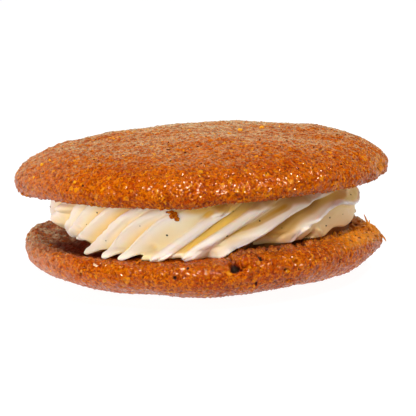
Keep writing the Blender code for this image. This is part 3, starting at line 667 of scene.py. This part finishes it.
def filling():
    crests = crest_table()
    lines = [crest_line(c) for c, _ in crests]
    feet = [float(c(CREST_START)) for c, _ in crests]
    tops = [float(c(CREST_START + CREST_RISE)) for c, _ in crests]
    # Columns between neighbouring crests, closer over the front.
    fold, part = [], []
    for k in range(len(crests)):
        nxt = (k + 1) % len(crests)
        wide = max((feet[nxt] - feet[k]) % 360.0, (tops[nxt] - tops[k]) % 360.0)
        front = abs(turned((feet[k] + feet[nxt] + (360.0 if nxt == 0 else 0.0)) / 2)) < 95.0
        n = max(8, int(math.radians(wide) * CREAM_BULGE / (0.22 if front else 0.30)))
        at = np.arange(n) / n
        part.append(at - 0.35 / (2 * math.pi) * np.sin(2 * math.pi * at))  # closer at the crests
        fold.append(np.full(n, k))
    fold, part = np.concatenate(fold), np.concatenate(part)
    n = len(fold)
    every = np.arange(n)
    tall, reached, drops, gone = np.array([v["notch"] for _, v in crests])[fold].T
    notch = tall * smooth(0.0, 1.0, part / reached) * (1 - smooth(0.0, 1.0, (part - drops) / (gone - drops)))
    rows = 64
    bottom = BASE_THICK - 0.15
    points, faces, valleys, near, heights = [], [], [], [], []
    ts = np.concatenate([[-3.0, -2.0, -1.0], np.linspace(0.0, 1.0, rows)])
    for row, t in enumerate(ts):
        z = np.full(n, CREST_START + max(t, 0.0) * CREST_RISE)
        r = np.full(n, CREAM_BULGE)
        for _ in range(3):
            crest = [c(z) for c, _ in crests]
            crest.append(crest[0] + 360.0)
            crest = np.array(crest)
            az = crest[fold, every] * (1 - part) + crest[fold + 1, every] * part
            x, y = CREAM_OFFSET + r * np.sin(np.radians(az)), -r * np.cos(np.radians(az))
            top = underside_height(x, y) + 0.12
            edge = BASE_THICK + edge_height(az)
            standing = np.maximum(edge + notch, BASE_THICK - 0.1)
            if t >= 0:
                z = standing + t * (top - standing)
            else:
                z = standing
            r, lean, valley, near_crest = cream_surface(az, z, top, edge, crests, lines)
        if t < 0:
            # Under its lower edge the cream turns back in, then down to the cake.
            open_at = stretch(az, (-112.0, -98.0, -40.0, -12.0))
            back = np.minimum(CREAM_BACK, r - 1.2) * open_at + (r - 1.3) * (1 - open_at) if t < -1.5 else r - 0.55
            r = back
            if t < -2.5:
                z = np.full(n, bottom)
            elif t < -1.5:
                z = np.maximum(standing - 0.05, bottom + 0.02)
            else:
                z = standing - 0.02
        else:
            # The lower edge is rounded like a bead.
            h = z - standing
            r = r - 0.55 * (1 - np.sqrt(1 - (1 - np.clip(h / 0.7, 0, 1)) ** 2))
        spin = lean * smooth(-0.5, 1.5, z - standing) * (1 - 0.5 * smooth(top - 2.0, top, z))
        a = np.radians(az) + spin / CREAM_BULGE
        x, y = CREAM_OFFSET + r * np.sin(a), -r * np.cos(a)
        if row == len(ts) - 1:
            z = underside_height(x, y) + 0.12
        points.append(np.stack([x, y, z], 1))
        # Under its lower edge the cream is flagged 3.0 for near-black painted shade.
        valleys.append(valley if t >= 0 else np.full(n, 3.0))
        near.append(near_crest)
    count = len(ts)
    j = np.arange(n)
    for i in range(count - 1):
        a, b = i * n + j, i * n + (j + 1) % n
        c, d = (i + 1) * n + j, (i + 1) * n + (j + 1) % n
        faces += [np.stack([a, b, d], 1), np.stack([a, d, c], 1)]
    points = np.concatenate(points)
    total = len(points)
    extra = []
    for end, height in ((0, None), (count - 1, 1)):
        ring = end * n + j
        centre = np.array([[CREAM_OFFSET, 0.0, bottom if height is None else float(underside_height(CREAM_OFFSET, 0.0)) + 0.12]])
        extra.append(centre)
        middle = total + len(extra) - 1
        fan = np.stack([np.full(n, middle), ring, end * n + (j + 1) % n], 1)
        faces.append(fan[:, ::-1] if height is None else fan)
    points = np.concatenate([points] + extra)
    valley = np.append(np.concatenate(valleys), [1.0, 1.0])
    crest = np.append(np.concatenate(near), [0.0, 0.0])
    faces = np.concatenate(faces)
    faces = outward(points - [0, 0, 17.0], faces)
    # Fine marks of the piping and the cream's own softness.
    normals = vertex_normals(points, faces)
    soft = 0.05 * noise(points, 2.2, 51) + 0.03 * noise(points, 0.9, 52)
    inner = np.hypot(points[:, 0], points[:, 1]) > 10.0
    points = points + normals * (soft * inner)[:, None]
    return points, faces, {"valley": np.clip(valley, 0, 3.0), "crest": crest}


# ---------------------------------------------------------------- crumbs, specks and fibres
def ball(levels):
    """A unit sphere of triangles."""
    g = (1 + 5 ** 0.5) / 2
    points = [(-1, g, 0), (1, g, 0), (-1, -g, 0), (1, -g, 0), (0, -1, g), (0, 1, g), (0, -1, -g), (0, 1, -g),
              (g, 0, -1), (g, 0, 1), (-g, 0, -1), (-g, 0, 1)]
    faces = [(0, 11, 5), (0, 5, 1), (0, 1, 7), (0, 7, 10), (0, 10, 11), (1, 5, 9), (5, 11, 4), (11, 10, 2), (10, 7, 6),
             (7, 1, 8), (3, 9, 4), (3, 4, 2), (3, 2, 6), (3, 6, 8), (3, 8, 9), (4, 9, 5), (2, 4, 11), (6, 2, 10),
             (8, 6, 7), (9, 8, 1)]
    for _ in range(levels):
        middle, finer = {}, []
        for a, b, c in faces:
            mids = []
            for i, j in ((a, b), (b, c), (c, a)):
                key = (min(i, j), max(i, j))
                if key not in middle:
                    middle[key] = len(points)
                    points.append(tuple((points[i][k] + points[j][k]) / 2 for k in range(3)))
                mids.append(middle[key])
            ab, bc, ca = mids
            finer += [(a, ab, ca), (b, bc, ab), (c, ca, bc), (ab, bc, ca)]
        faces = finer
    points = np.array(points, float)
    return points / np.linalg.norm(points, axis=1)[:, None], np.array(faces)


BALLS = {n: ball(n) for n in (1, 2, 3, 4)}


class Skin:
    """A finished surface that small things are laid on."""

    def __init__(self, points, faces):
        self.tree = BVHTree.FromPolygons(points.tolist(), faces.tolist())

    def side(self, az, z):
        a = math.radians(az)
        return self.hit((60 * math.sin(a), -60 * math.cos(a), z), (-math.sin(a), math.cos(a), 0))

    def top(self, x, y):
        return self.hit((x, y, 70), (0, 0, -1))

    def below(self, x, y):
        return self.hit((x, y, -20), (0, 0, 1))

    def hit(self, origin, direction):
        place, normal, _, _ = self.tree.ray_cast(Vector(origin), Vector(direction))
        if place is None:
            return None
        return np.array(place), np.array(normal)


def scattered(spots, levels, lumpy, sink, seed):
    """Lumpy grains laid on a surface. A spot is (hit, length, width, height, turn in degrees)."""
    unit, unit_faces = BALLS[levels]
    points, faces, total = [], [], 0
    for k, (hit, long, wide, high, turn) in enumerate(spots):
        if hit is None:
            continue
        place, n = hit
        n = n / np.linalg.norm(n)
        side = np.cross(n, [0.0, 0.0, 1.0])
        side = side / np.linalg.norm(side) if np.linalg.norm(side) > 0.05 else np.array([1.0, 0.0, 0.0])
        up = np.cross(side, n)
        c, s = math.cos(math.radians(turn)), math.sin(math.radians(turn))
        u, v = side * c + up * s, up * c - side * s
        lump = 1 + lumpy * noise(unit * 1.0, 0.9, seed + k) + 0.5 * lumpy * noise(unit, 0.45, seed + k + 500)
        q = unit * lump[:, None] * [long / 2, wide / 2, high / 2]
        points.append(place + n * high * (0.5 - sink) + q[:, :1] * u + q[:, 1:2] * v + q[:, 2:] * n)
        faces.append(unit_faces + total)
        total += len(unit)
    return np.concatenate(points), np.concatenate(faces)


# Small things seen in the photo. Cream: azimuth, height, size. Cakes: azimuth and height, or x, y.
VANILLA = [(-42.1, 21.1, 0.42), (-12.5, 17.3, 0.50), (-27.6, 13.8, 0.30), (-37.1, 15.0, 0.30), (8.7, 17.0, 0.52),
           (21.3, 19.7, 0.46), (11.0, 22.6, 0.34), (53.0, 17.9, 0.38), (50.9, 16.2, 0.38), (73.7, 21.0, 0.40),
           (-22.5, 19.2, 0.24), (2.4, 19.0, 0.24), (30.5, 17.4, 0.26), (63.0, 17.6, 0.26), (-48.0, 17.9, 0.24)]
ORANGE = [(9.54, -2.21, 1.5, 1.1, 1.1), (14.98, 2.08, 1.1, 0.9, 0.8), (-37.18, -15.91, 0.9, 0.7, 0.6),
          (-28.38, -32.71, 0.8, 0.6, 0.5), (-35.39, -14.44, 0.8, 0.6, 0.5)]
SPICE = [(-26.45, -35.09, 0.8), (-7.46, -23.45, 0.8), (-3.54, -25.57, 0.7), (14.44, -39.28, 0.6)]
# Fibres of crumb standing off the lower cake's right edge, through these points.
FIBRES = [
    (((40.9, -5.0, 11.0), (39.9, -5.1, 13.0), (39.05, -5.0, 15.1)), 0.80),
    (((39.9, -5.2, 12.0), (40.2, -5.1, 12.9), (40.4, -5.0, 13.7)), 0.55),
    (((43.2, -3.2, 9.8), (44.0, -3.1, 8.9), (44.6, -3.0, 7.9)), 0.75),
]


def vanilla_specks(cream):
    rng = random.Random(7)
    spots = [(cream.side(az, z), d, 0.75 * d, 0.5 * d, rng.uniform(0, 180)) for az, z, d in VANILLA]
    for _ in range(60):
        az, z = rng.uniform(84.0, 280.0), rng.uniform(15.5, 22.5)
        d = rng.choice((0.2, 0.26, 0.3, 0.42))
        spots.append((cream.side(az, z), d, 0.75 * d, 0.5 * d, rng.uniform(0, 180)))
    return scattered(spots, 2, 0.35, 0.30, 900)


def spice_specks(over, under):
    rng = random.Random(8)
    spots = [(over.top(x, y), d, 0.6 * d, 0.4 * d, rng.uniform(0, 180)) for x, y, d in SPICE]
    for _ in range(170):
        r, a = 44.0 * math.sqrt(rng.random()), rng.uniform(0, 2 * math.pi)
        d = rng.choice((0.3, 0.35, 0.4, 0.55))
        spots.append((over.top(r * math.sin(a), r * math.cos(a)), d, 0.6 * d, 0.4 * d, rng.uniform(0, 180)))
    for _ in range(70):
        d = rng.choice((0.3, 0.35, 0.45))
        spots.append((over.side(rng.uniform(-180, 180), rng.uniform(25.6, 29.0)), d, 0.6 * d, 0.4 * d, rng.uniform(0, 180)))
        d = rng.choice((0.3, 0.4, 0.5))
        spots.append((under.side(rng.uniform(-180, 180), rng.uniform(1.5, 10.5)), d, 0.6 * d, 0.4 * d, rng.uniform(0, 180)))
    for _ in range(60):
        r, a = 38.0 * math.sqrt(rng.random()), rng.uniform(0, 2 * math.pi)
        hit = under.below(r * math.sin(a), r * math.cos(a))
        if hit is not None and hit[0][2] > FOOT_CUT + 0.6:
            spots.append((hit, 0.4, 0.25, 0.2, rng.uniform(0, 180)))
    return scattered(spots, 1, 0.4, 0.35, 1900)


def orange_bits(over, under):
    rng = random.Random(9)
    spots = [(over.top(x, y), long, wide, high, rng.uniform(-25, 25)) for x, y, long, wide, high in ORANGE]
    for _ in range(46):
        r, a = 43.0 * math.sqrt(rng.random()), rng.uniform(0, 2 * math.pi)
        d = rng.choice((0.4, 0.5, 0.6, 0.8))
        spots.append((over.top(r * math.sin(a), r * math.cos(a)), d, 0.6 * d, 0.3 * d, rng.uniform(0, 180)))
    for _ in range(26):
        d = rng.choice((0.4, 0.5, 0.6))
        spots.append((over.side(rng.uniform(-180, 180), rng.uniform(25.6, 29.0)), d, 0.6 * d, 0.3 * d, rng.uniform(0, 180)))
        spots.append((under.side(rng.uniform(-180, 180), rng.uniform(1.5, 11.0)), d, 0.6 * d, 0.3 * d, rng.uniform(0, 180)))
    return scattered(spots, 2, 0.45, 0.40, 3100)


def pale_flecks(over, under):
    rng = random.Random(10)
    spots = [(under.side(-35.1, 10.6), 1.0, 0.5, 0.14, 12.0), (under.side(-34.4, 10.4), 0.7, 0.4, 0.16, -30.0),
             (under.side(-36.0, 10.8), 0.5, 0.3, 0.12, 50.0), (under.side(-33.9, 10.9), 0.3, 0.25, 0.1, 0.0)]
    for _ in range(12):
        d = rng.choice((0.35, 0.5, 0.6))
        spots.append((under.side(rng.uniform(60, 300), rng.uniform(2.0, 10.0)), d, 0.6 * d, 0.25 * d, rng.uniform(0, 180)))
    return scattered(spots, 2, 0.35, 0.45, 4200)


def crumbs(over, under, cream):
    rng = random.Random(11)
    spots = [(cream.side(-9.7, 21.9), 1.9, 1.4, 1.2, -35.0), (cream.side(-8.7, 21.3), 1.2, 1.0, 1.0, 20.0),
             (cream.side(-11.0, 22.5), 1.5, 0.7, 0.7, -15.0), (cream.side(-12.2, 22.7), 0.8, 0.5, 0.5, 0.0)]
    big = len(spots)
    # Crumbs lie along the cream's foot and hang at the upper cake's lower edge.
    for _ in range(70):
        az = rng.uniform(-180, 180)
        d = rng.uniform(0.35, 0.85)
        r = rng.uniform(38.6, 41.2)
        a = math.radians(az)
        hit = under.hit((r * math.sin(a), -r * math.cos(a), 17.0), (0, 0, -1))
        spots.append((hit, d, 0.8 * d, 0.7 * d, rng.uniform(0, 180)))
    for _ in range(26):
        az, d = rng.uniform(95, 265), rng.uniform(0.3, 0.7)
        spots.append((cream.side(az, rng.uniform(20.5, 22.6)), d, 0.8 * d, 0.7 * d, rng.uniform(0, 180)))
    p1, f1 = scattered(spots[:big], 4, 0.34, 0.30, 5311)
    p2, f2 = scattered(spots[big:], 2, 0.5, 0.30, 5400)
    edge = [(over.side(-11.6, 25.05), 1.8, 1.0, 0.9, 0.0), (over.side(-9.6, 24.95), 1.0, 0.7, 0.7, 0.0)]
    for _ in range(90):
        d = rng.uniform(0.35, 0.9)
        az = rng.uniform(-180, 180)
        low = underside_height(44.0 * math.sin(math.radians(az)), -44.0 * math.cos(math.radians(az)))
        edge.append((over.side(az, low + rng.uniform(0.25, 0.8)), d, 0.8 * d, 0.6 * d, rng.uniform(0, 180)))
    p3, f3 = scattered(edge, 2, 0.5, 0.45, 5600)
    points = np.concatenate([p1, p2, p3])
    return points, np.concatenate([f1, f2 + len(p1), f3 + len(p1) + len(p2)])


def fibres():
    points, faces, total = [], [], 0
    for k, (path, thick) in enumerate(FIBRES):
        path = np.array(path)
        t = np.linspace(0, 2, 15)
        spine = np.stack([np.interp(t, [0, 1, 2], path[:, c]) for c in range(3)], 1)
        spine += 0.10 * np.stack([noise(spine, 0.7, 70 + k), noise(spine, 0.7, 80 + k), 0 * t], 1)
        n = 8
        a = np.arange(n) * 2 * math.pi / n
        for i, q in enumerate(spine):
            r = thick / 2 * (1 - 0.75 * (i / 14.0) ** 1.5) * (1 + 0.25 * math.sin(3.1 * i + k))
            points.append(np.stack([q[0] + r * np.cos(a), q[1] + 0.8 * r * np.sin(a), np.full(n, q[2])], 1))
        for i in range(14):
            p, q = total + i * n + np.arange(n), total + i * n + (np.arange(n) + 1) % n
            faces += [np.stack([p, q, q + n], 1), np.stack([p, q + n, p + n], 1)]
        for end, flip in ((0, True), (14, False)):
            ring = total + end * n
            fan = np.array([(ring, ring + j, ring + j + 1) for j in range(1, n - 1)])
            faces.append(fan[:, ::-1] if flip else fan)
        total += 15 * n
    return np.concatenate(points), np.concatenate(faces)


# ---------------------------------------------------------------- materials
class Nodes:
    """Short hand for building a material's node tree."""

    def __init__(self, name):
        self.material = bpy.data.materials.new(name)
        self.material.use_nodes = True
        self.tree = self.material.node_tree
        self.shader = self.tree.nodes["Principled BSDF"]

    def add(self, kind, inputs=None, **settings):
        node = self.tree.nodes.new(kind)
        for key, value in settings.items():
            setattr(node, key, value)
        for key, value in (inputs or {}).items():
            self.put(node.inputs[key], value)
        return node

    def put(self, socket, value):
        if isinstance(value, bpy.types.NodeSocket):
            self.tree.links.new(value, socket)
        else:
            socket.default_value = value

    def coordinates(self):
        return self.add("ShaderNodeTexCoord").outputs["Object"]

    def noise(self, where, size, detail=3.0, rough=0.55, distortion=0.0):
        return self.add("ShaderNodeTexNoise", {"Vector": where, "Scale": 1000.0 / size, "Detail": detail,
                                               "Roughness": rough, "Distortion": distortion}).outputs["Fac"]

    def cells(self, where, size, feature="F1", output="Distance", randomness=1.0):
        return self.add("ShaderNodeTexVoronoi", {"Vector": where, "Scale": 1000.0 / size, "Randomness": randomness},
                        feature=feature).outputs[output]

    def span(self, value, a, b, c=0.0, d=1.0):
        return self.add("ShaderNodeMapRange", {0: value, 1: a, 2: b, 3: c, 4: d}, interpolation_type="SMOOTHSTEP").outputs[0]

    def math(self, kind, a, b=0.0):
        return self.add("ShaderNodeMath", {0: a, 1: b}, operation=kind).outputs[0]

    def mix(self, amount, a, b, kind="MIX"):
        node = self.add("ShaderNodeMix", data_type="RGBA", blend_type=kind)
        colours = [s for s in node.inputs if s.type == "RGBA"]
        self.put(node.inputs["Factor"], amount)
        self.put(colours[0], a if isinstance(a, bpy.types.NodeSocket) else (*a, 1.0))
        self.put(colours[1], b if isinstance(b, bpy.types.NodeSocket) else (*b, 1.0))
        return [s for s in node.outputs if s.type == "RGBA"][0]

    def scaled(self, vector, amount):
        return self.add("ShaderNodeVectorMath", {0: vector, "Scale": amount}, operation="SCALE").outputs[0]

    def attribute(self, name):
        return self.add("ShaderNodeAttribute", attribute_name=name).outputs["Fac"]

    def bump(self, height, distance, strength=1.0, normal=None):
        inputs = {"Height": height, "Distance": distance, "Strength": strength}
        if normal is not None:
            inputs["Normal"] = normal
        return self.add("ShaderNodeBump", inputs).outputs["Normal"]

    def set(self, **values):
        for key, value in values.items():
            self.put(self.shader.inputs[key.replace("_", " ")], value)


def crust_material():
    m = Nodes("spiced_cake")
    where = m.coordinates()
    relief, crumb = m.attribute("relief"), m.attribute("crumb")
    patches = m.span(m.noise(where, 14.0, 2.0), 0.35, 0.65)
    mottle = m.span(m.noise(where, 3.4, 3.0), 0.40, 0.66)
    grain = m.noise(where, 0.42, 2.0, 0.6)
    bent = m.add("ShaderNodeVectorMath", {0: where, 1: m.scaled(m.add("ShaderNodeTexNoise", {
        "Vector": where, "Scale": 900.0, "Detail": 2.0}).outputs["Color"], 0.0006)}, operation="ADD").outputs[0]
    each = m.cells(bent, 0.50, "F1", "Color")
    split = m.add("ShaderNodeSeparateColor", {"Color": each}).outputs
    across = m.add("ShaderNodeSeparateXYZ", {"Vector": where}).outputs["X"]
    base = m.mix(patches, (0.485, 0.074, 0.0005), (0.41, 0.050, 0.0004))
    level = m.add("ShaderNodeSeparateXYZ", {"Vector": where}).outputs["Z"]
    # The lower cake is painted darker towards its right side: painted shade.
    base = m.mix(m.math("MULTIPLY", m.span(across, 0.008, 0.036), m.span(level, 0.013, 0.018, 0.25, 0.0)), base, (0.38, 0.040, 0.0005))
    base = m.mix(m.math("MULTIPLY", mottle, 0.6), base, (0.57, 0.116, 0.0006))
    base = m.mix(m.span(split[0], 0.50, 0.85, 0.0, 0.50), base, (0.71, 0.20, 0.001))
    base = m.mix(m.span(split[1], 0.60, 0.90, 0.0, 0.65), base, (0.20, 0.019, 0.0005))
    base = m.mix(m.span(grain, 0.56, 0.70, 0.0, 0.50), base, (0.74, 0.25, 0.001))
    base = m.mix(m.span(grain, 0.46, 0.34, 0.0, 0.70), base, (0.14, 0.012, 0.0005))
    smear = m.add("ShaderNodeSeparateColor", {"Color": m.cells(bent, 0.9, "F1", "Color")}).outputs[2]
    base = m.mix(m.span(smear, 0.955, 0.985, 0.0, 0.60), base, (0.80, 0.30, 0.005))
    # Darker in the relief's troughs and pits: partly the crumb's own darker colour, partly painted shade.
    base = m.mix(m.span(relief, 0.60, 0.15, 0.0, 0.90), base, (0.14, 0.012, 0.0005))
    # A pale sheen painted over both left ends: painted reflection.
    painted_sheen = m.math("MULTIPLY", m.span(across, -0.027, -0.042), m.span(level, 0.013, 0.018, 0.62, 0.32))
    painted_sheen = m.math("MULTIPLY", painted_sheen, m.span(m.noise(where, 1.6, 4.0, 0.7), 0.40, 0.60, 0.15, 1.0))
    base = m.mix(painted_sheen, base, (0.48, 0.24, 0.16))
    inside = m.mix(m.span(grain, 0.40, 0.66), (0.42, 0.068, 0.0015), (0.85, 0.30, 0.006))
    inside = m.mix(m.span(across, 0.026, 0.036, 0.0, 0.75), inside, (0.82, 0.28, 0.004))
    base = m.mix(m.math("MULTIPLY", crumb, m.span(relief, 0.1, 0.5)), base, inside)
    # Painted shade: darker where the shade mask is set, near black inside the pits.
    base = m.mix(m.math("MULTIPLY", m.attribute("painted_shade"), 0.98), base, m.mix(1.0, base, (0.23, 0.040, 0.006), "MULTIPLY"))
    base = m.mix(m.span(m.attribute("painted_shade"), 1.0, 1.5), base, (0.020, 0.005, 0.001))
    # The glossy skin is finely wrinkled: short ridges about a millimetre apart.
    height = m.math("ADD", m.noise(where, 0.8, 0.4, 0.5, 0.5), m.math("MULTIPLY", m.noise(where, 0.45, 0.0), 0.10))
    normal = m.bump(height, 0.00030, 1.0)
    gloss = m.span(m.noise(where, 2.4, 2.0), 0.40, 0.62, 0.20, 0.10)
    gloss = m.math("ADD", gloss, m.math("MULTIPLY", m.math("MAXIMUM", m.attribute("painted_shade"), crumb), 0.4))
    m.set(Base_Color=base, Roughness=gloss, Normal=normal)
    m.shader.subsurface_method = "RANDOM_WALK"
    m.set(Subsurface_Weight=0.12, Subsurface_Scale=0.0006, Specular_IOR_Level=0.35)
    m.shader.inputs["Specular Tint"].default_value = (1.0, 0.75, 0.50, 1.0)
    m.shader.inputs["Subsurface Radius"].default_value = (1.0, 0.35, 0.10)
    return m.material


def cream_material():
    m = Nodes("cream")
    where = m.coordinates()
    valley, crest = m.attribute("valley"), m.attribute("crest")
    clouds = m.span(m.noise(where, 6.0, 3.0), 0.3, 0.7)
    across = m.add("ShaderNodeSeparateXYZ", {"Vector": where}).outputs["X"]
    base = m.mix(clouds, (0.93, 0.77, 0.48), (0.95, 0.81, 0.55))
    # Painted shade: the cream is yellower left of the middle, darker at its left end and tan over its right side.
    base = m.mix(m.span(across, -0.004, -0.013, 0.0, 0.75), base, (0.91, 0.70, 0.36))
    base = m.mix(m.span(across, -0.026, -0.036, 0.0, 0.7), base, (0.80, 0.60, 0.36))
    base = m.mix(m.span(across, 0.001, 0.020, 0.0, 0.85), base, (0.83, 0.57, 0.26))
    # The valleys' painted shade, its hue changing from left to right.
    valley_shade_colour = m.mix(m.span(across, -0.007, -0.002), (0.91, 0.66, 0.27), (0.85, 0.54, 0.06))
    valley_shade_colour = m.mix(m.span(across, 0.004, 0.013), valley_shade_colour, (0.56, 0.32, 0.08))
    valley_shade_colour = m.mix(m.span(across, 0.024, 0.031), valley_shade_colour, (0.70, 0.47, 0.10))
    base = m.mix(m.span(valley, 0.25, 1.1, 0.0, 0.9), base, valley_shade_colour)
    # Painted highlight along the crests.
    base = m.mix(m.math("MULTIPLY", crest, 0.65), base, (0.95, 0.87, 0.83))
    # Deeper painted shade in deep valleys and dimples, near black under the lower edge.
    base = m.mix(m.span(valley, 1.2, 1.9, 0.0, 0.9), base, (0.50, 0.24, 0.02))
    base = m.mix(m.span(valley, 2.2, 2.9), base, (0.24, 0.09, 0.02))
    ripple = m.noise(where, 1.3, 3.0)
    normal = m.bump(ripple, 0.0002, 0.35)
    m.set(Base_Color=base, Roughness=m.span(ripple, 0.3, 0.7, 0.42, 0.54), Normal=normal)
    m.shader.subsurface_method = "RANDOM_WALK"
    m.set(Subsurface_Weight=0.4, Subsurface_Scale=0.0010, Specular_IOR_Level=0.2)
    m.shader.inputs["Subsurface Radius"].default_value = (1.0, 0.7, 0.35)
    return m.material


def grain_material(name, light, dark, roughness, size, shine=0.4):
    m = Nodes(name)
    where = m.coordinates()
    tone = m.noise(where, size, 3.0)
    m.set(Base_Color=m.mix(m.span(tone, 0.35, 0.65), dark, light), Roughness=roughness, Specular_IOR_Level=shine,
          Normal=m.bump(m.noise(where, size * 0.6, 2.0), 0.0001, 0.6))
    return m.material


# ---------------------------------------------------------------- stage
def stage():
    scene = bpy.context.scene
    floor = bpy.data.meshes.new("floor")
    size = 3.0
    floor.from_pydata([(-size, -size, 0), (size, -size, 0), (size, size, 0), (-size, size, 0)], [], [(0, 1, 2, 3)])
    m = Nodes("pale_floor")
    # The floor shines on the pie from behind and beside, and stays dark towards the camera.
    place = m.add("ShaderNodeSeparateXYZ", {"Vector": m.coordinates()}).outputs["Y"]
    behind = m.span(place, -0.095, -0.015, 0.05, 0.95)
    seen = m.add("ShaderNodeLightPath").outputs["Is Camera Ray"]
    m.set(Base_Color=(0.16, 0.16, 0.16, 1.0), Roughness=0.9, Specular_IOR_Level=0.0, Emission_Color=(1.0, 1.0, 1.0, 1.0),
          Emission_Strength=m.math("MAXIMUM", m.math("MULTIPLY", seen, 0.95), behind))
    floor.materials.append(m.material)
    obj = bpy.data.objects.new("floor", floor)
    scene.collection.objects.link(obj)

    world = bpy.data.worlds.new("studio")
    scene.world = world
    world.use_nodes = True
    tree = world.node_tree
    tree.nodes.clear()
    link = tree.links.new
    where = tree.nodes.new("ShaderNodeTexCoord")
    axes = tree.nodes.new("ShaderNodeSeparateXYZ")
    link(where.outputs["Generated"], axes.inputs[0])
    spread = tree.nodes.new("ShaderNodeMapRange")
    spread.interpolation_type = "SMOOTHSTEP"
    sides = tree.nodes.new("ShaderNodeMath")
    sides.operation = "ABSOLUTE"
    link(axes.outputs["X"], sides.inputs[0])
    round_to = tree.nodes.new("ShaderNodeMath")
    round_to.operation = "MULTIPLY_ADD"
    link(sides.outputs[0], round_to.inputs[0])
    round_to.inputs[1].default_value = 0.40
    link(axes.outputs["Y"], round_to.inputs[2])
    link(round_to.outputs[0], spread.inputs[0])
    for k, value in ((1, 0.20), (2, 0.65), (3, 0.0), (4, 1.25)):
        spread.inputs[k].default_value = value
    low = tree.nodes.new("ShaderNodeMapRange")
    low.interpolation_type = "SMOOTHSTEP"
    link(axes.outputs["Z"], low.inputs[0])
    for k, value in ((1, 0.25), (2, 0.80), (3, 1.0), (4, 0.15)):
        low.inputs[k].default_value = value
    both = tree.nodes.new("ShaderNodeMath")
    both.operation = "MULTIPLY"
    link(spread.outputs[0], both.inputs[0])
    link(low.outputs[0], both.inputs[1])
    light = tree.nodes.new("ShaderNodeBackground")
    sheen = tree.nodes.new("ShaderNodeLightPath")
    tint = tree.nodes.new("ShaderNodeMix")
    tint.data_type = "RGBA"
    link(sheen.outputs["Is Glossy Ray"], tint.inputs["Factor"])
    first, second = [q for q in tint.inputs if q.type == "RGBA"]
    first.default_value, second.default_value = (1.0, 0.95, 0.90, 1.0), (1.0, 0.96, 0.57, 1.0)
    link([q for q in tint.outputs if q.type == "RGBA"][0], light.inputs["Color"])
    link(both.outputs[0], light.inputs["Strength"])
    white = tree.nodes.new("ShaderNodeBackground")
    white.inputs["Color"].default_value = (1.0, 1.0, 1.0, 1.0)
    white.inputs["Strength"].default_value = 1.05
    seen = tree.nodes.new("ShaderNodeLightPath")
    mix = tree.nodes.new("ShaderNodeMixShader")
    out = tree.nodes.new("ShaderNodeOutputWorld")
    link(seen.outputs["Is Camera Ray"], mix.inputs[0])
    link(light.outputs[0], mix.inputs[1])
    link(white.outputs[0], mix.inputs[2])
    link(mix.outputs[0], out.inputs["Surface"])

    for name, azimuth, height, away, size, power, tint in LIGHTS:
        lamp = bpy.data.lights.new(name, "AREA")
        lamp.shape = "DISK"
        lamp.size = size
        lamp.energy = power
        lamp.color = tint
        obj = bpy.data.objects.new(name, lamp)
        a, h = math.radians(azimuth), math.radians(height)
        place = Vector((away * math.sin(a) * math.cos(h), -away * math.cos(a) * math.cos(h), away * math.sin(h) + 0.018))
        obj.location = place
        obj.rotation_euler = (Vector((0, 0, 0.018)) - place).to_track_quat("-Z", "Y").to_euler()
        # Only one compact light sparkles on the crust; the broad ones give no sheen.
        obj.visible_glossy, obj.visible_diffuse = name == "glint", name != "glint"
        scene.collection.objects.link(obj)

    # The photograph's angle: 10.8 degrees above level, 450 mm away, rolled by 1.2 degrees.
    camera = bpy.data.cameras.new("camera")
    camera.sensor_fit = "HORIZONTAL"
    camera.sensor_width = 36.0
    camera.lens = 159.68
    camera.clip_start = 0.01
    eye = bpy.data.objects.new("camera", camera)
    e = math.radians(10.777)
    target = (np.array([1.433, 0.0, 16.552]) + SHIFT) * MM
    eye.location = Vector(target + 0.450 * np.array([0.0, -math.cos(e), math.sin(e)]))
    eye.rotation_mode = "QUATERNION"
    look = (Vector(target) - eye.location).to_track_quat("-Z", "Y")
    from mathutils import Quaternion
    eye.rotation_quaternion = look @ Quaternion((0.0, 0.0, 1.0), math.radians(-1.241))
    scene.collection.objects.link(eye)
    scene.camera = eye
    scene.view_settings.view_transform = "Standard"


# name, azimuth, height angle, distance, size, power, colour
LIGHTS = [
    ("key", -25.0, 13.0, 0.9, 0.45, 5.4, (1.0, 1.0, 1.0)),
    ("front_top", 22.0, 50.0, 0.9, 0.16, 4.0, (1.0, 1.0, 1.0)),
    ("above", 0.0, 78.0, 0.9, 0.50, 2.8, (1.0, 1.0, 1.0)),
    ("right", 98.0, 6.0, 0.9, 0.30, 0.7, (1.0, 0.97, 0.95)),
    ("left", -102.0, 8.0, 0.9, 0.30, 1.1, (1.0, 0.93, 0.95)),
    ("glint", 22.0, 52.0, 0.9, 0.14, 13.0, (0.92, 1.0, 1.1)),
]


def main():
    crust, cream = crust_material(), cream_material()
    p, f, v = cake_top()
    build("crust_top", p, f, crust, v, "cake_top", "spiced_cake")
    over = Skin(p, f)
    p, f, v = cake_bottom()
    build("crust_bottom", p, f, crust, v, "cake_bottom", "spiced_cake")
    under = Skin(p, f)
    p, f, v = filling()
    build("piped_cream", p, f, cream, v, "filling", "cream")
    piped = Skin(p, f)
    crumb = grain_material("crumb", (0.66, 0.19, 0.004), (0.26, 0.036, 0.001), 0.6, 0.5, 0.1)
    build("crumbs", *crumbs(over, under, piped), crumb)
    build("fibres", *fibres(), grain_material("crumb_fibre", (0.80, 0.30, 0.012), (0.55, 0.15, 0.006), 0.5, 0.5))
    build("vanilla_specks", *vanilla_specks(piped), grain_material("vanilla_seed", (0.06, 0.035, 0.02), (0.015, 0.009, 0.006), 0.8, 0.2, 0.0))
    build("spice_specks", *spice_specks(over, under), grain_material("spice", (0.09, 0.02, 0.004), (0.03, 0.008, 0.003), 0.8, 0.2, 0.0))
    build("orange_bits", *orange_bits(over, under), grain_material("orange_bit", (0.92, 0.44, 0.012), (0.82, 0.27, 0.005), 0.5, 0.3, 0.1))
    build("pale_flecks", *pale_flecks(over, under), grain_material("pale_fleck", (0.80, 0.62, 0.42), (0.66, 0.38, 0.18), 0.45, 0.3))
    stage()
    bpy.context.view_layer.update()


main()
